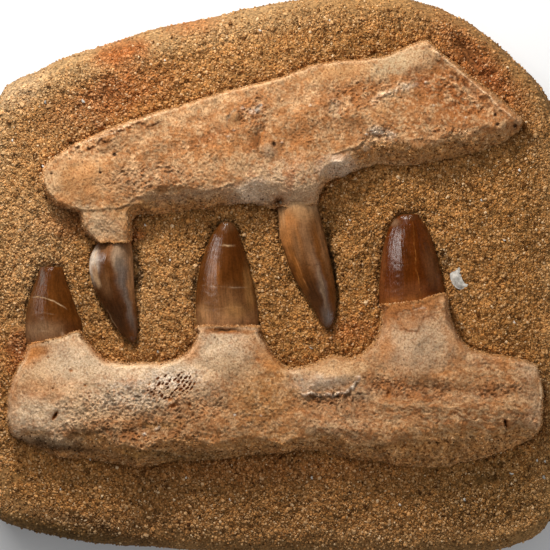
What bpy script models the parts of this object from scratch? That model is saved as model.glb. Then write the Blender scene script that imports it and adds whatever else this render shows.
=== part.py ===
"""Fossil mosasaur jaw: two jaw bones and five tooth crowns, fixed in a slab of sandy matrix.

The slab lies on its flat back. +X runs towards the throat end of the jaws, +Y from the lower
jaw to the upper one, and +Z out of the worked face. The origin is the middle of the slab's
plan, on its flat back. Forms are worked in millimetres and each mesh is made in metres.

The slab and the bones are relief: a closed outline, a height over the plan and a floor.
Each crown is a loft of oval sections, half sunk in the slab.
"""
import math

import bmesh
import bpy
import numpy as np
from mathutils import Matrix, Vector, geometry, noise

MM = 0.001

# ---------------------------------------------------------------- driving dimensions, mm
SLAB_LENGTH = 241.0             # along X
SLAB_WIDTH = 227.0              # along Y
FACE_LEVEL = 34.0               # usual height of the worked face over the flat back
FACE_DOME = 2.5                 # the face falls by this much towards the rim
JAW_GAP_HOLLOW = 2.0            # the face is dug this much deeper between the jaws
JAW_GAP_MIDDLE = (-10.0, 5.0)
JAW_GAP_REACH = (75.0, 26.0)
UPPER_JAW_HEIGHT = 9.5          # bone over the face, at its usual
LOWER_JAW_HEIGHT = 10.5
BONE_CAMBER = 2.0               # extra height in the middle of a broad bone
CAMBER_REACH = 9.0              # distance from the edge over which the camber builds up
BONE_FLOOR = 26.0               # underside of the bones, inside the slab
FOOT_SINK = 1.0                 # the foot of a bone's wall is this far under the face
FIT_GAP = 0.3                   # room left between pieces that touch
FACE_WAVE_SIZE = 34.0           # natural waviness of the slab, and its height
FACE_WAVE = 1.0
BONE_WAVE_SIZE = 8.0            # the same of the bones
BONE_WAVE = 1.0

# ---------------------------------------------------------------- fineness
SLAB_STEP = 9.0
BONE_STEP = 4.4
OUTLINE_STEP = 4.0
SLAB_OUTLINE_STEP = 6.4
CUTTER_TOP = 80.0               # well over everything
CURVE_CUTS = 12                 # points of a smooth outline between two given ones
CROWN_SIDES = 16
SHARP_ANGLE = 40.0              # degrees; edges over this are shaded sharp
LEAST_SPACING = 0.62            # closest two relief points may be, as a share of the step
CLOSE_SPACING = 0.42            # the same for points on forms and walls
RING_MARGIN = 0.9               # a wall point nearer another wall than this share is left out
WALL_RINGS = (0.4, 1.0)         # where the rings of wall points lie, as shares of its run
NARROWEST_WALL = 1.6            # inset of the first relief points along a square end

# ---------------------------------------------------------------- plan of the slab
# x, y of the silhouette, clockwise from the left end
SLAB_PLAN = (
    (-120.5, -9.5), (-120.0, 22.5), (-117.5, 50.5), (-109.5, 75.0), (-95.5, 83.0),
    (-83.5, 89.0), (-70.0, 93.0), (-50.0, 99.5), (-28.5, 104.0), (0.5, 110.5),
    (30.5, 113.5), (48.5, 113.0), (62.0, 110.0), (79.0, 102.5), (97.5, 87.5),
    (110.5, 73.0), (116.0, 58.5), (119.0, 34.5), (120.5, -9.5), (120.0, -49.5),
    (117.0, -81.5), (110.5, -101.0), (95.5, -109.5), (74.5, -113.0), (42.5, -113.5),
    (10.5, -113.5), (-17.5, -112.0), (-52.0, -109.0), (-76.0, -106.5), (-95.0, -101.5),
    (-109.5, -96.5), (-116.0, -86.5), (-119.0, -61.5),
)
# inset from the silhouette and height of each ring of the side, from the back up
SLAB_SIDE = ((15.0, 0.0), (7.0, 2.5), (2.2, 9.0), (0.0, 18.0), (1.6, 25.5), (5.0, 30.5))
SLAB_SHOULDER = 10.0            # inset at which the side has turned into the face
SIDE_WAVE = 0.5                 # how much the insets of the side vary, as a share
LEVEL_WAVE = 0.05               # how much its levels vary

# ---------------------------------------------------------------- plans of the bones
# x, y and run of the side wall there, clockwise from the front end; a run of END_RUN is
# the end of a root pedestal, square against its crown
END_RUN = 0.6
BROKEN_RUN = 5.5                # walls longer than this are broken faces with a crisp brow
BROKEN_EDGE = 1.5               # power of the brow's curve there
ROUND_EDGE = 2.4                # and on the naturally rounded walls
UPPER_JAW_PLAN = (
    (-93.0, 38.5, 4.0), (-91.0, 45.0, 4.0), (-85.5, 49.5, 3.0), (-76.0, 54.5, 3.0),
    (-62.0, 61.0, 3.0), (-42.0, 67.0, 3.0), (-23.0, 73.0, 3.0), (0.5, 79.0, 3.0),
    (11.0, 83.0, 3.0), (22.0, 85.5, 3.0), (42.5, 88.0, 3.0), (50.0, 90.5, 2.5),
    (60.0, 94.5, 2.5), (65.0, 91.5, 2.5), (75.0, 83.5, 2.5), (90.0, 72.0, 2.5),
    (98.5, 64.5, 3.0), (100.0, 61.0, 3.5), (96.0, 55.5, 6.0), (86.5, 51.0, 8.0),
    (70.5, 47.0, 9.0), (54.5, 44.0, 9.0), (42.0, 44.5, 8.0), (34.0, 42.0, 6.0),
    (26.5, 39.5, 5.0), (21.5, 37.5, 4.0), (18.5, 33.0, 4.0),
    (17.5, 29.0, 3.0), (15.5, 28.0, END_RUN), (9.5, 27.0, END_RUN), (3.5, 27.0, END_RUN),
    (0.0, 27.0, 3.0), (-4.5, 28.0, 6.0), (-13.5, 29.0, 8.0), (-25.5, 27.0, 8.0),
    (-39.5, 25.0, 8.0), (-51.5, 24.5, 7.0), (-56.0, 23.0, 4.0), (-56.5, 18.5, 4.0),
    (-56.8, 14.5, 3.0), (-58.0, 13.0, END_RUN), (-63.5, 13.0, END_RUN),
    (-69.0, 13.0, END_RUN), (-73.0, 15.0, 3.0), (-76.5, 19.0, 4.0), (-78.0, 24.5, 4.0),
    (-83.0, 26.5, 4.0), (-89.5, 30.0, 4.0),
)
LOWER_JAW_PLAN = (
    (-107.0, -51.0, 5.0), (-106.0, -45.5, 5.0), (-104.0, -39.5, 5.0), (-101.5, -34.5, 4.5),
    (-99.0, -29.5, 3.0),
    (-97.5, -27.0, END_RUN), (-87.5, -24.5, END_RUN), (-78.0, -22.0, END_RUN),
    (-76.0, -24.5, 3.0), (-72.5, -28.0, 3.5), (-69.0, -32.0, 3.5), (-64.0, -34.0, 3.5),
    (-53.5, -34.5, 3.5), (-43.0, -34.0, 3.5), (-36.5, -31.5, 3.5), (-32.5, -27.5, 3.5),
    (-31.0, -23.0, 3.0),
    (-30.5, -20.0, END_RUN), (-18.0, -19.5, END_RUN), (-6.0, -20.0, END_RUN),
    (-5.0, -23.0, 3.0), (-2.0, -28.0, 4.0), (2.0, -33.5, 4.0), (6.5, -36.5, 4.0),
    (13.0, -35.5, 4.0), (24.0, -31.5, 4.0), (30.5, -32.5, 4.0), (36.0, -30.0, 4.0),
    (40.5, -25.5, 5.0), (42.5, -20.0, 5.0), (43.0, -13.5, 4.0),
    (43.5, -11.0, END_RUN), (55.0, -10.0, END_RUN), (67.0, -7.0, END_RUN),
    (69.5, -9.0, 3.0), (71.0, -15.5, 5.0), (73.5, -22.5, 5.0), (78.0, -28.0, 5.0),
    (84.0, -30.5, 4.5), (96.0, -32.5, 4.0), (104.5, -35.0, 3.0), (107.0, -40.0, 2.5),
    (108.0, -47.5, 2.5), (108.0, -57.5, 3.0), (105.5, -63.0, 4.0), (96.5, -68.5, 6.0),
    (84.5, -73.0, 7.0), (70.5, -76.5, 8.0), (58.5, -77.0, 8.0), (44.5, -75.0, 8.0),
    (30.5, -73.0, 7.0), (14.5, -70.0, 7.0), (-7.5, -72.0, 7.0), (-25.5, -74.0, 7.0),
    (-43.5, -75.0, 7.0), (-54.0, -76.5, 6.0), (-75.5, -73.5, 6.0), (-87.5, -72.5, 6.0),
    (-96.0, -68.5, 5.0), (-104.0, -64.5, 5.0), (-107.0, -58.5, 5.0),
)
# share of the usual height along X, where the bone stands lower or higher
UPPER_JAW_CREST = ((-93, 0.78), (-60, 0.95), (-10, 1.05), (20, 1.05), (60, 1.0), (100, 0.72))
LOWER_JAW_CREST = ((-107, 0.85), (-60, 1.0), (-20, 1.05), (15, 0.92), (55, 1.08), (108, 0.9))

# ---------------------------------------------------------------- lumps and hollows, mm
# x, y, half width along and across, turn in degrees, height (a hollow is negative)
UPPER_JAW_FORMS = (
    (-14.0, 61.0, 7.0, 6.0, 0, 2.0),        # worn boss
    (-14.0, 61.0, 3.6, 3.0, 0, -2.6),       # the dish in its top
    (-4.0, 60.0, 3.0, 8.0, -20, -1.8),      # slot beside the boss
    (56.0, 85.0, 13.0, 5.0, 18, 1.6),       # smooth plate at the high corner
    (44.0, 73.0, 13.0, 2.6, 30, 2.4),       # pale ridge under the plate
    (72.0, 68.0, 18.0, 7.0, -8, -2.2),      # stained hollow behind the ridge
    (84.0, 60.0, 9.0, 3.0, -12, 1.2),       # flake standing in the hollow
    (43.0, 55.0, 6.0, 3.5, 0, -2.4),        # crumbled bite in the lower edge
    (7.0, 38.0, 9.0, 9.0, 0, 2.2),          # swelling of the rear root
    (28.0, 45.0, 7.0, 4.0, 20, 1.6),        # knob beside it
    (-66.0, 20.0, 7.0, 6.0, 0, -2.0),       # front root, lower than the bone
    (-60.0, 51.0, 18.0, 2.4, 24, -1.6),     # flaked seam along the upper edge
    (-34.0, 50.0, 20.0, 4.0, 12, -1.3),     # worn trough along the middle
    (-44.0, 37.0, 16.0, 3.5, 4, 1.1),       # swell above the lower edge
    (-78.0, 40.0, 8.0, 7.0, 0, 1.0),        # rounded front end
    (20.0, 64.0, 24.0, 4.5, 8, 1.4),        # low ridge between boss and plate
    (26.0, 74.0, 16.0, 3.0, 6, -1.0),       # flat trough above that ridge
)
LOWER_JAW_FORMS = (
    (-41.0, -43.0, 9.0, 4.5, 8, -1.9),      # spongy patch
    (-50.0, -57.0, 22.0, 5.0, 0, -2.2),     # rough hollow under it
    (-24.0, -58.0, 9.0, 5.0, 0, 1.0),       # swell that ends the hollow
    (-46.0, -67.0, 22.0, 3.0, -3, 1.8),     # fibrous ledge at the foot
    (-86.0, -48.0, 12.0, 9.0, 0, 1.4),      # smooth front swelling
    (-18.0, -32.0, 9.0, 8.0, 0, 1.5),       # middle root
    (22.0, -40.5, 14.0, 3.4, 8, 2.2),       # lip
    (24.0, -51.0, 15.0, 3.4, 3, -3.4),      # recess under the lip
    (61.0, -27.0, 11.0, 10.0, 0, 1.9),      # rear root
    (68.0, -46.0, 34.0, 2.6, -2, -2.0),     # groove along the bone
    (70.0, -52.5, 34.0, 2.4, -1, 1.5),      # ridge beside the groove
    (30.0, -61.0, 18.0, 3.0, -4, 1.4),      # long swell below the recess
    (76.0, -62.0, 22.0, 3.0, 3, -1.2),      # worn trough near the lower edge
    (96.0, -50.0, 10.0, 10.0, 0, 0.8),      # squared rear end
    (51.0, -67.0, 4.0, 3.5, 0, -2.8),       # notch in the lower edge
    (-86.5, -56.0, 1.8, 3.0, -20, -4.0),    # open pit
    (92.5, -59.0, 1.8, 3.0, 0, -4.0),       # open hole
)
SLAB_FORMS = (
    (76.0, 92.0, 12.0, 3.6, -52, -2.4),     # gouge inside the rim
    (-60.0, -84.0, 40.0, 8.0, -4, -0.8),
    (84.0, -88.0, 24.0, 10.0, 10, 1.0),
    (-70.0, 80.0, 30.0, 8.0, 24, 0.9),
    (-100.0, 0.0, 8.0, 30.0, 0, -0.8),
    (92.0, 10.0, 18.0, 26.0, 0, -0.9),
)

# ---------------------------------------------------------------- tooth crowns, mm
# sections from the base to the tip: left x, y, right x, y, height over the face
CROWNS = {
    "upper_front_tooth": (
        (-69.5, 14.2, -57.2, 14.2, 6.5), (-72.8, 9.2, -56.4, 9.4, 8.2),
        (-73.8, 3.5, -56.2, 4.2, 8.6), (-72.3, -3.8, -55.8, -3.6, 8.4),
        (-69.8, -9.5, -55.2, -9.5, 7.8), (-66.6, -15.2, -54.6, -15.2, 6.8),
        (-63.0, -21.0, -54.5, -21.2, 5.4), (-59.2, -25.8, -55.4, -26.0, 3.9),
    ),
    "upper_rear_tooth": (
        (1.6, 28.2, 17.2, 28.4, 8.6), (2.0, 22.8, 18.8, 23.2, 9.2),
        (2.4, 16.6, 20.4, 16.8, 9.4), (4.8, 8.0, 22.4, 8.0, 9.0),
        (8.2, -0.8, 24.2, -0.8, 8.2), (12.6, -8.4, 25.3, -8.4, 7.0),
        (16.2, -14.6, 25.2, -14.6, 5.6), (19.6, -20.4, 23.6, -20.6, 3.8),
    ),
    "lower_front_tooth": (
        (-98.4, -28.0, -76.8, -22.8, 8.6), (-99.4, -23.0, -76.8, -18.6, 9.0),
        (-99.2, -15.0, -78.4, -14.8, 8.8), (-97.6, -8.6, -80.6, -8.6, 8.2),
        (-95.6, -3.2, -82.6, -3.2, 7.2), (-93.4, 1.6, -84.2, 1.8, 5.8),
        (-93.0, 3.8, -85.2, 3.8, 4.8),
    ),
    "lower_middle_tooth": (
        (-30.8, -21.0, -6.0, -21.0, 9.0), (-31.2, -14.0, -6.2, -14.0, 9.4),
        (-31.0, -6.0, -7.4, -6.0, 9.4), (-29.6, 3.0, -9.6, 3.0, 9.0),
        (-27.2, 10.4, -11.6, 10.4, 8.2), (-24.2, 16.2, -14.0, 16.2, 7.0),
        (-21.2, 20.0, -16.2, 20.0, 5.4), (-19.2, 21.8, -17.6, 21.8, 4.4),
    ),
    "lower_rear_tooth": (
        (42.4, -12.0, 68.4, -8.2, 9.6), (42.2, -5.4, 68.6, -4.6, 10.0),
        (43.0, 4.4, 66.8, 3.4, 10.0), (44.0, 11.6, 64.6, 11.0, 9.4),
        (46.0, 18.4, 62.0, 18.4, 8.2), (48.6, 22.6, 59.2, 22.4, 6.8),
        (51.4, 24.8, 58.0, 24.8, 5.6),
    ),
}
CROWN_DEPTH = 0.86              # half depth of a section as a share of its half width
CROWN_KEEL = 1.06               # the front and rear keels stand out by this factor
KEEL_SHARPNESS = 8              # power of the keel's section
CROWN_FACET = 0.03              # how far the flat facets between the keels dip

# ---------------------------------------------------------------- shell flake, mm
SHELL_PLACE = (74.5, -0.5)
SHELL_TURN = 28.0               # degrees, from lying along Y
SHELL_LENGTH = 8.6
SHELL_BREADTH = 4.2
SHELL_THICKNESS = 1.6
SHELL_PROUD = 0.9               # how far it stands over the face
SHELL_BEND = 0.7                # how far the crescent bends, as a share of its breadth
SHELL_STATIONS = 7

# ---------------------------------------------------------------- finishes
FINISHES = {
    "matrix": ((0.36, 0.22, 0.10), 0.95),
    "bone": ((0.62, 0.42, 0.26), 0.8),
    "enamel": ((0.17, 0.07, 0.03), 0.28),
    "shell": ((0.62, 0.58, 0.52), 0.6),
}


def smooth_loop(points, step):
    """Closed curve through the points, cut into equal steps; extra columns ride along."""
    points = np.array(points, dtype=float)
    before, after, second = (np.roll(points, n, axis=0) for n in (1, -1, -2))
    dense = []
    for t in np.linspace(0.0, 1.0, CURVE_CUTS, endpoint=False):
        dense.append(0.5 * (2 * points + (after - before) * t
                            + (2 * before - 5 * points + 4 * after - second) * t ** 2
                            + (3 * points - before - 3 * after + second) * t ** 3))
    dense = np.stack(dense, axis=1).reshape(-1, points.shape[1])
    dense[:, 2:] = np.clip(dense[:, 2:], points[:, 2:].min(axis=0), None)
    closed = np.vstack([dense, dense[:1]])
    reach = np.r_[0.0, np.cumsum(np.hypot(*np.diff(closed[:, :2], axis=0).T))]
    marks = np.linspace(0.0, reach[-1], round(reach[-1] / step), endpoint=False)
    return np.stack([np.interp(marks, reach, column) for column in closed.T], axis=1)


def inward(loop):
    """Unit directions into a clockwise loop, one for each point."""
    along = np.roll(loop[:, :2], -1, axis=0) - np.roll(loop[:, :2], 1, axis=0)
    normal = np.stack([along[:, 1], -along[:, 0]], axis=1)
    return normal / np.linalg.norm(normal, axis=1)[:, None]


def inset(loop, depth):
    """The loop moved inwards by the depth, or outwards where the depth is negative."""
    return loop[:, :2] + inward(loop) * depth


def nearest_on_loop(loop, x, y):
    """Distances from a point to each side of the loop, and the loop's columns there."""
    step = np.roll(loop, -1, axis=0) - loop
    along = (x - loop[:, 0]) * step[:, 0] + (y - loop[:, 1]) * step[:, 1]
    along = np.clip(along / (step[:, 0] ** 2 + step[:, 1] ** 2), 0.0, 1.0)
    near = loop + step * along[:, None]
    return np.hypot(x - near[:, 0], y - near[:, 1]), near


def is_inside(loop, x, y):
    """True where the point lies inside the loop."""
    start, end = loop[:, :2], np.roll(loop[:, :2], -1, axis=0)
    spans = (start[:, 1] > y) != (end[:, 1] > y)
    share = (y - start[spans, 1]) / (end[spans, 1] - start[spans, 1])
    cross = start[spans, 0] + share * (end[spans, 0] - start[spans, 0])
    return bool(np.count_nonzero(cross > x) % 2)


def forms_at(forms, x, y):
    """Sum of the rounded lumps and hollows at a place."""
    total = 0.0
    for at_x, at_y, half_along, half_across, turn, height in forms:
        turn = math.radians(turn)
        along = (x - at_x) * math.cos(turn) + (y - at_y) * math.sin(turn)
        across = (y - at_y) * math.cos(turn) - (x - at_x) * math.sin(turn)
        total += height * math.exp(-(along / half_along) ** 2 - (across / half_across) ** 2)
    return total


def unevenness(x, y, size, height):
    """Smooth natural waviness of the given size and height."""
    place = Vector((x / size, y / size, height))
    return height * (noise.noise(place) + 0.5 * noise.noise(place * 2.1))


def face_height(x, y):
    """Height of the slab's worked face."""
    spread = (2 * x / SLAB_LENGTH) ** 2 + (2 * y / SLAB_WIDTH) ** 2
    hollow = math.exp(-((x - JAW_GAP_MIDDLE[0]) / JAW_GAP_REACH[0]) ** 2
                      - ((y - JAW_GAP_MIDDLE[1]) / JAW_GAP_REACH[1]) ** 2)
    return (FACE_LEVEL - FACE_DOME * spread ** 2 - JAW_GAP_HOLLOW * hollow
            + forms_at(SLAB_FORMS, x, y) + unevenness(x, y, FACE_WAVE_SIZE, FACE_WAVE))


def bone_height(loop, crest, usual, forms):
    """Make the function that gives a bone's surface over its plan."""
    crest_x, crest_share = zip(*crest)

    def height(x, y):
        distance, near = nearest_on_loop(loop, x, y)
        run = near[:, 2]
        rounding = np.where(run > BROKEN_RUN, BROKEN_EDGE, ROUND_EDGE)
        wall = (1.0 - (1.0 - np.clip(distance / run, 0.0, 1.0)) ** rounding).min()
        open_side = distance[run > 2 * END_RUN].min()
        camber = BONE_CAMBER * (1.0 - math.exp(-open_side / CAMBER_REACH))
        top = usual * np.interp(x, crest_x, crest_share) + camber
        top += forms_at(forms, x, y) + unevenness(x, y, BONE_WAVE_SIZE, BONE_WAVE)
        return face_height(x, y) - FOOT_SINK + wall * (top + FOOT_SINK)

    return height


def form_points(forms):
    """Points that mark each lump or hollow: its middle, its ends and its flanks."""
    points = []
    for x, y, half_along, half_across, turn, _ in forms:
        along = Vector((half_along, 0.0))
        along.rotate(Matrix.Rotation(math.radians(turn), 2))
        across = along.orthogonal().normalized() * half_across
        points += [(x + move.x, y + move.y)
                   for move in (Vector((0.0, 0.0)), along, -along, across, -across)]
    return points


def relief_points(loop, step, rings, forms=()):
    """Points for the inside of a relief: on its forms, in rings along its edge, then a field."""
    points = []

    def add(x, y, margin, apart):
        if not is_inside(loop, x, y) or nearest_on_loop(loop, x, y)[0].min() < margin:
            return
        if points and np.hypot(*(np.array(points) - (x, y)).T).min() < apart:
            return
        points.append((x, y))

    for x, y in form_points(forms):
        add(x, y, NARROWEST_WALL, step * CLOSE_SPACING)
    for share in rings:
        depth = share * np.maximum(loop[:, 2], NARROWEST_WALL)
        ring = inset(loop, depth[:, None])
        for (x, y), margin in zip(ring, depth * RING_MARGIN):
            add(x, y, margin, step * CLOSE_SPACING)
    low, high = loop[:, :2].min(axis=0), loop[:, :2].max(axis=0)
    row_step = step * math.sqrt(3) / 2
    for row in range(int((high[1] - low[1]) / row_step) + 1):
        for column in range(int((high[0] - low[0]) / step) + 2):
            x = low[0] + (column - 0.5 * (row % 2)) * step
            y = low[1] + row * row_step
            add(x, y, step * LEAST_SPACING, step * LEAST_SPACING)
    return points


def fill_relief(mesh, ring, inner, height):
    """Fill a ring of vertices with triangles through the inner points."""
    plan = [Vector(v.co.xy) for v in ring] + [Vector(point) for point in inner]
    rim = [(n, (n + 1) % len(ring)) for n in range(len(ring))]
    placed, _, faces, origins, _, _ = geometry.delaunay_2d_cdt(plan, rim, [], 1, 1e-5)
    vertices = []
    for place, origin in zip(placed, origins):
        if origin and origin[0] < len(ring):
            vertices.append(ring[origin[0]])
        else:
            vertices.append(mesh.verts.new((place.x, place.y, height(place.x, place.y))))
    for face in faces:
        mesh.faces.new([vertices[n] for n in face])


def add_ring(mesh, plan, heights):
    """Add a ring of vertices over a plan loop."""
    return [mesh.verts.new((x, y, z)) for (x, y), z in zip(plan, heights)]


def join_rings(mesh, lower, upper):
    """Join two rings with a band of faces."""
    for n in range(len(lower)):
        after = (n + 1) % len(lower)
        mesh.faces.new((lower[n], lower[after], upper[after], upper[n]))


def finish_name(node):
    """Finish of a node, by what it is made of."""
    for word, finish in (("slab", "matrix"), ("bone", "bone"), ("tooth", "enamel")):
        if word in node:
            return finish
    return "shell"


def make_material(name):
    """Principled material of one finish."""
    colour, roughness = FINISHES[name]
    material = bpy.data.materials.new(name)
    material.use_nodes = True
    shader = material.node_tree.nodes["Principled BSDF"]
    shader.inputs["Base Color"].default_value = (*colour, 1.0)
    shader.inputs["Roughness"].default_value = roughness
    return material


def add_object(name, mesh, collection, material=None):
    """Turn a mesh worked in millimetres into an object in metres."""
    bmesh.ops.recalc_face_normals(mesh, faces=mesh.faces[:])
    bmesh.ops.scale(mesh, vec=(MM, MM, MM), verts=mesh.verts[:])
    data = bpy.data.meshes.new(name)
    mesh.to_mesh(data)
    mesh.free()
    piece = bpy.data.objects.new(name, data)
    collection.objects.link(piece)
    if material:
        data.materials.append(material)
        data.shade_smooth()
        data.set_sharp_from_angle(angle=math.radians(SHARP_ANGLE))
    else:
        piece.hide_render = True
        piece.display_type = "WIRE"
    return piece


def make_slab(collection, material):
    """The loose block of matrix: rounded sides, a flat back and a worked face."""
    loop = smooth_loop(SLAB_PLAN, SLAB_OUTLINE_STEP)
    middle = (loop.max(axis=0) + loop.min(axis=0)) / 2
    size = loop.max(axis=0) - loop.min(axis=0)
    loop = (loop - middle) * np.array((SLAB_LENGTH, SLAB_WIDTH)) / size
    uneven = [unevenness(x, y, FACE_WAVE_SIZE, 1.0) for x, y in loop]
    mesh = bmesh.new()
    below = None
    for depth, level in SLAB_SIDE:
        depths = np.array([[depth * (1.0 + SIDE_WAVE * min(level, 1.0) * u)] for u in uneven])
        ring = add_ring(mesh, inset(loop, depths), [level * (1.0 + LEVEL_WAVE * u) for u in uneven])
        if below:
            join_rings(mesh, below, ring)
        else:
            mesh.faces.new(ring)
        below = ring
    shoulder = inset(loop, SLAB_SHOULDER)
    ring = add_ring(mesh, shoulder, [face_height(x, y) for x, y in shoulder])
    join_rings(mesh, below, ring)
    edge = np.column_stack([shoulder, np.full(len(shoulder), SLAB_STEP)])
    fill_relief(mesh, ring, relief_points(edge, SLAB_STEP, (), SLAB_FORMS), face_height)
    return add_object("matrix_slab", mesh, collection, material)


def make_bone(name, plan, crest, usual, forms, collection, material):
    """A jaw bone with its root pedestals, sunk in the slab to the bones' floor."""
    loop = smooth_loop(plan, OUTLINE_STEP)
    height = bone_height(loop, crest, usual, forms)
    mesh = bmesh.new()
    floor = add_ring(mesh, loop[:, :2], [BONE_FLOOR] * len(loop))
    foot = add_ring(mesh, loop[:, :2], [face_height(x, y) - FOOT_SINK for x, y, _ in loop])
    mesh.faces.new(floor)
    join_rings(mesh, floor, foot)
    fill_relief(mesh, foot, relief_points(loop, BONE_STEP, WALL_RINGS, forms), height)
    return add_object(name, mesh, collection, material)


def make_bone_cutter(name, plan, collection):
    """The bed of a bone in the slab: its outline with the fit gap, up through the face."""
    edge = inset(smooth_loop(plan, OUTLINE_STEP), -FIT_GAP)
    mesh = bmesh.new()
    low = add_ring(mesh, edge, [BONE_FLOOR - FIT_GAP] * len(edge))
    high = add_ring(mesh, edge, [CUTTER_TOP] * len(edge))
    mesh.faces.new(low)
    join_rings(mesh, low, high)
    mesh.faces.new(high)
    return add_object(name, mesh, collection)


def crown_ring(mesh, section, grow):
    """One oval section of a crown, with keels at its sides and flat facets between."""
    left, right = Vector(section[0:2]), Vector(section[2:4])
    centre = (left + right) / 2
    half = (right - left) / 2
    half *= (half.length + grow) / half.length
    depth = half.length * CROWN_DEPTH + grow * (1.0 - CROWN_DEPTH)
    level = face_height(*centre) + section[4] + grow - depth
    ring = []
    for n in range(CROWN_SIDES):
        angle = 2 * math.pi * n / CROWN_SIDES
        keel = 1.0 + (CROWN_KEEL - 1.0) * math.cos(angle) ** KEEL_SHARPNESS
        facet = 1.0 - CROWN_FACET * math.cos(4 * angle) ** 2
        place = centre + half * math.cos(angle) * keel / CROWN_KEEL
        ring.append(mesh.verts.new((*place, level + depth * math.sin(angle) * facet)))
    return ring


def make_crown(name, sections, collection, material=None, grow=0.0):
    """A tooth crown, or with growth the cutter that makes room for it."""
    base, tip = Vector(sections[0]), Vector(sections[-1])
    before, after = base - Vector(sections[1]), tip - Vector(sections[-2])
    first = tuple(base + before * grow / before.length) if grow else sections[0]
    last = tuple(tip + after * grow / after.length) if grow else sections[-1]
    mesh = bmesh.new()
    rings = [crown_ring(mesh, s, grow) for s in (first, *sections[1:-1], last)]
    for lower, upper in zip(rings, rings[1:]):
        join_rings(mesh, lower, upper)
    mesh.faces.new(rings[0])
    mesh.faces.new(rings[-1])
    return add_object(name, mesh, collection, material)


def make_shell(name, collection, material=None, grow=0.0):
    """The crescent flake of shell, lying in the slab's face."""
    mesh = bmesh.new()
    level = face_height(*SHELL_PLACE) + SHELL_PROUD
    turn = Matrix.Rotation(math.radians(SHELL_TURN), 2)
    rings = []
    for n in range(SHELL_STATIONS):
        share = 2.0 * n / (SHELL_STATIONS - 1) - 1.0
        breadth = SHELL_BREADTH * (1.05 - share ** 2) / 2 + grow
        x = SHELL_BREADTH * (share ** 2 - 0.5) * SHELL_BEND
        y = share * (SHELL_LENGTH / 2 + grow)
        thick = SHELL_THICKNESS / 2 + grow
        corners = ((-breadth, -thick), (breadth, -thick), (breadth, thick * 0.4), (0.0, thick),
                   (-breadth, thick * 0.4))
        ring = []
        for across, up in corners:
            place = Vector(SHELL_PLACE) + turn @ Vector((x + across, y))
            ring.append(mesh.verts.new((*place, level - SHELL_THICKNESS / 2 + up)))
        rings.append(ring)
    for lower, upper in zip(rings, rings[1:]):
        join_rings(mesh, lower, upper)
    mesh.faces.new(rings[0])
    mesh.faces.new(rings[-1])
    return add_object(name, mesh, collection, material)


def cut(piece, cutter):
    """Cut the cutter's room out of a piece."""
    modifier = piece.modifiers.new("cut_" + cutter.name, "BOOLEAN")
    modifier.operation = "DIFFERENCE"
    modifier.solver = "EXACT"
    modifier.object = cutter


def main():
    for old in list(bpy.data.objects):
        bpy.data.objects.remove(old, do_unlink=True)
    parts = bpy.data.collections.new("fossil_mosasaur_jaw")
    cutters = bpy.data.collections.new("cutters")
    for collection in (parts, cutters):
        bpy.context.scene.collection.children.link(collection)
    materials = {name: make_material(name) for name in FINISHES}

    slab = make_slab(parts, materials["matrix"])
    bones = []
    for name, plan, crest, usual, forms in (
        ("upper_jaw_bone", UPPER_JAW_PLAN, UPPER_JAW_CREST, UPPER_JAW_HEIGHT, UPPER_JAW_FORMS),
        ("lower_jaw_bone", LOWER_JAW_PLAN, LOWER_JAW_CREST, LOWER_JAW_HEIGHT, LOWER_JAW_FORMS),
    ):
        bones.append(make_bone(name, plan, crest, usual, forms, parts, materials["bone"]))
        cut(slab, make_bone_cutter(name + "_bed", plan, cutters))
    for name, sections in CROWNS.items():
        make_crown(name, sections, parts, materials["enamel"])
        room = make_crown(name + "_room", sections, cutters, grow=FIT_GAP)
        cut(slab, room)
        cut(bones[0] if name.startswith("upper") else bones[1], room)
    make_shell("shell_fragment", parts, materials["shell"])
    cut(slab, make_shell("shell_fragment_room", cutters, grow=FIT_GAP))


main()
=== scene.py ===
# %% [markdown]
# # A mosasaur's jaws in their slab
# This lesson dresses a fossil: two jaw bones with five tooth crowns, lying in a loose slab of
# sandy rock. The solids come packed from the CAD side, with their origin in the middle of the
# flat back. Here every solid gets a finer stand-in of the same form, with the roughness, stains
# and cracks that make it look like bone, enamel and sand. Lengths are worked in millimetres and
# turned into metres only when a mesh is made, because small whole numbers are easier to read.

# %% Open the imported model
import math

import bpy
import numpy as np
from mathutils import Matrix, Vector, geometry, noise


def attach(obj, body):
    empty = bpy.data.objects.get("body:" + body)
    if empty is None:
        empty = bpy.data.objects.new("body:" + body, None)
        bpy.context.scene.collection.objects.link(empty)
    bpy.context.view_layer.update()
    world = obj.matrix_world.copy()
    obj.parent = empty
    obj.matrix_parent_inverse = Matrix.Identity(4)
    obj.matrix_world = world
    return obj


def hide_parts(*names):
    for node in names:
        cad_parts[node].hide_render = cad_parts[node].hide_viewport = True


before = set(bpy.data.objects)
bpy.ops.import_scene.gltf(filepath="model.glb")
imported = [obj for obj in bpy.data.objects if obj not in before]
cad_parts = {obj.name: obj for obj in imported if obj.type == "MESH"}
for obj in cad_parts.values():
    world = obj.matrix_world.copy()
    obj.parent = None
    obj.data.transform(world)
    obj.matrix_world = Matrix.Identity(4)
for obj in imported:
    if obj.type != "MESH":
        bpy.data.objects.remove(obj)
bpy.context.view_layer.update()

MM = 0.001


# %% [markdown]
# ## Curves and waviness
# A natural outline is drawn here with a few points and a smooth curve through them. Blender has
# curve objects for that, but a few lines of numpy give the points straight away, and they can
# carry extra columns along, such as how steep the side is at each place. The waviness comes
# from Blender's own Perlin noise, read at each point. Noise is the usual way to get a surface
# that is uneven without ever repeating.

# %% A smooth closed outline
CURVE_CUTS = 12  # points of a smooth outline between two given ones


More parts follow.
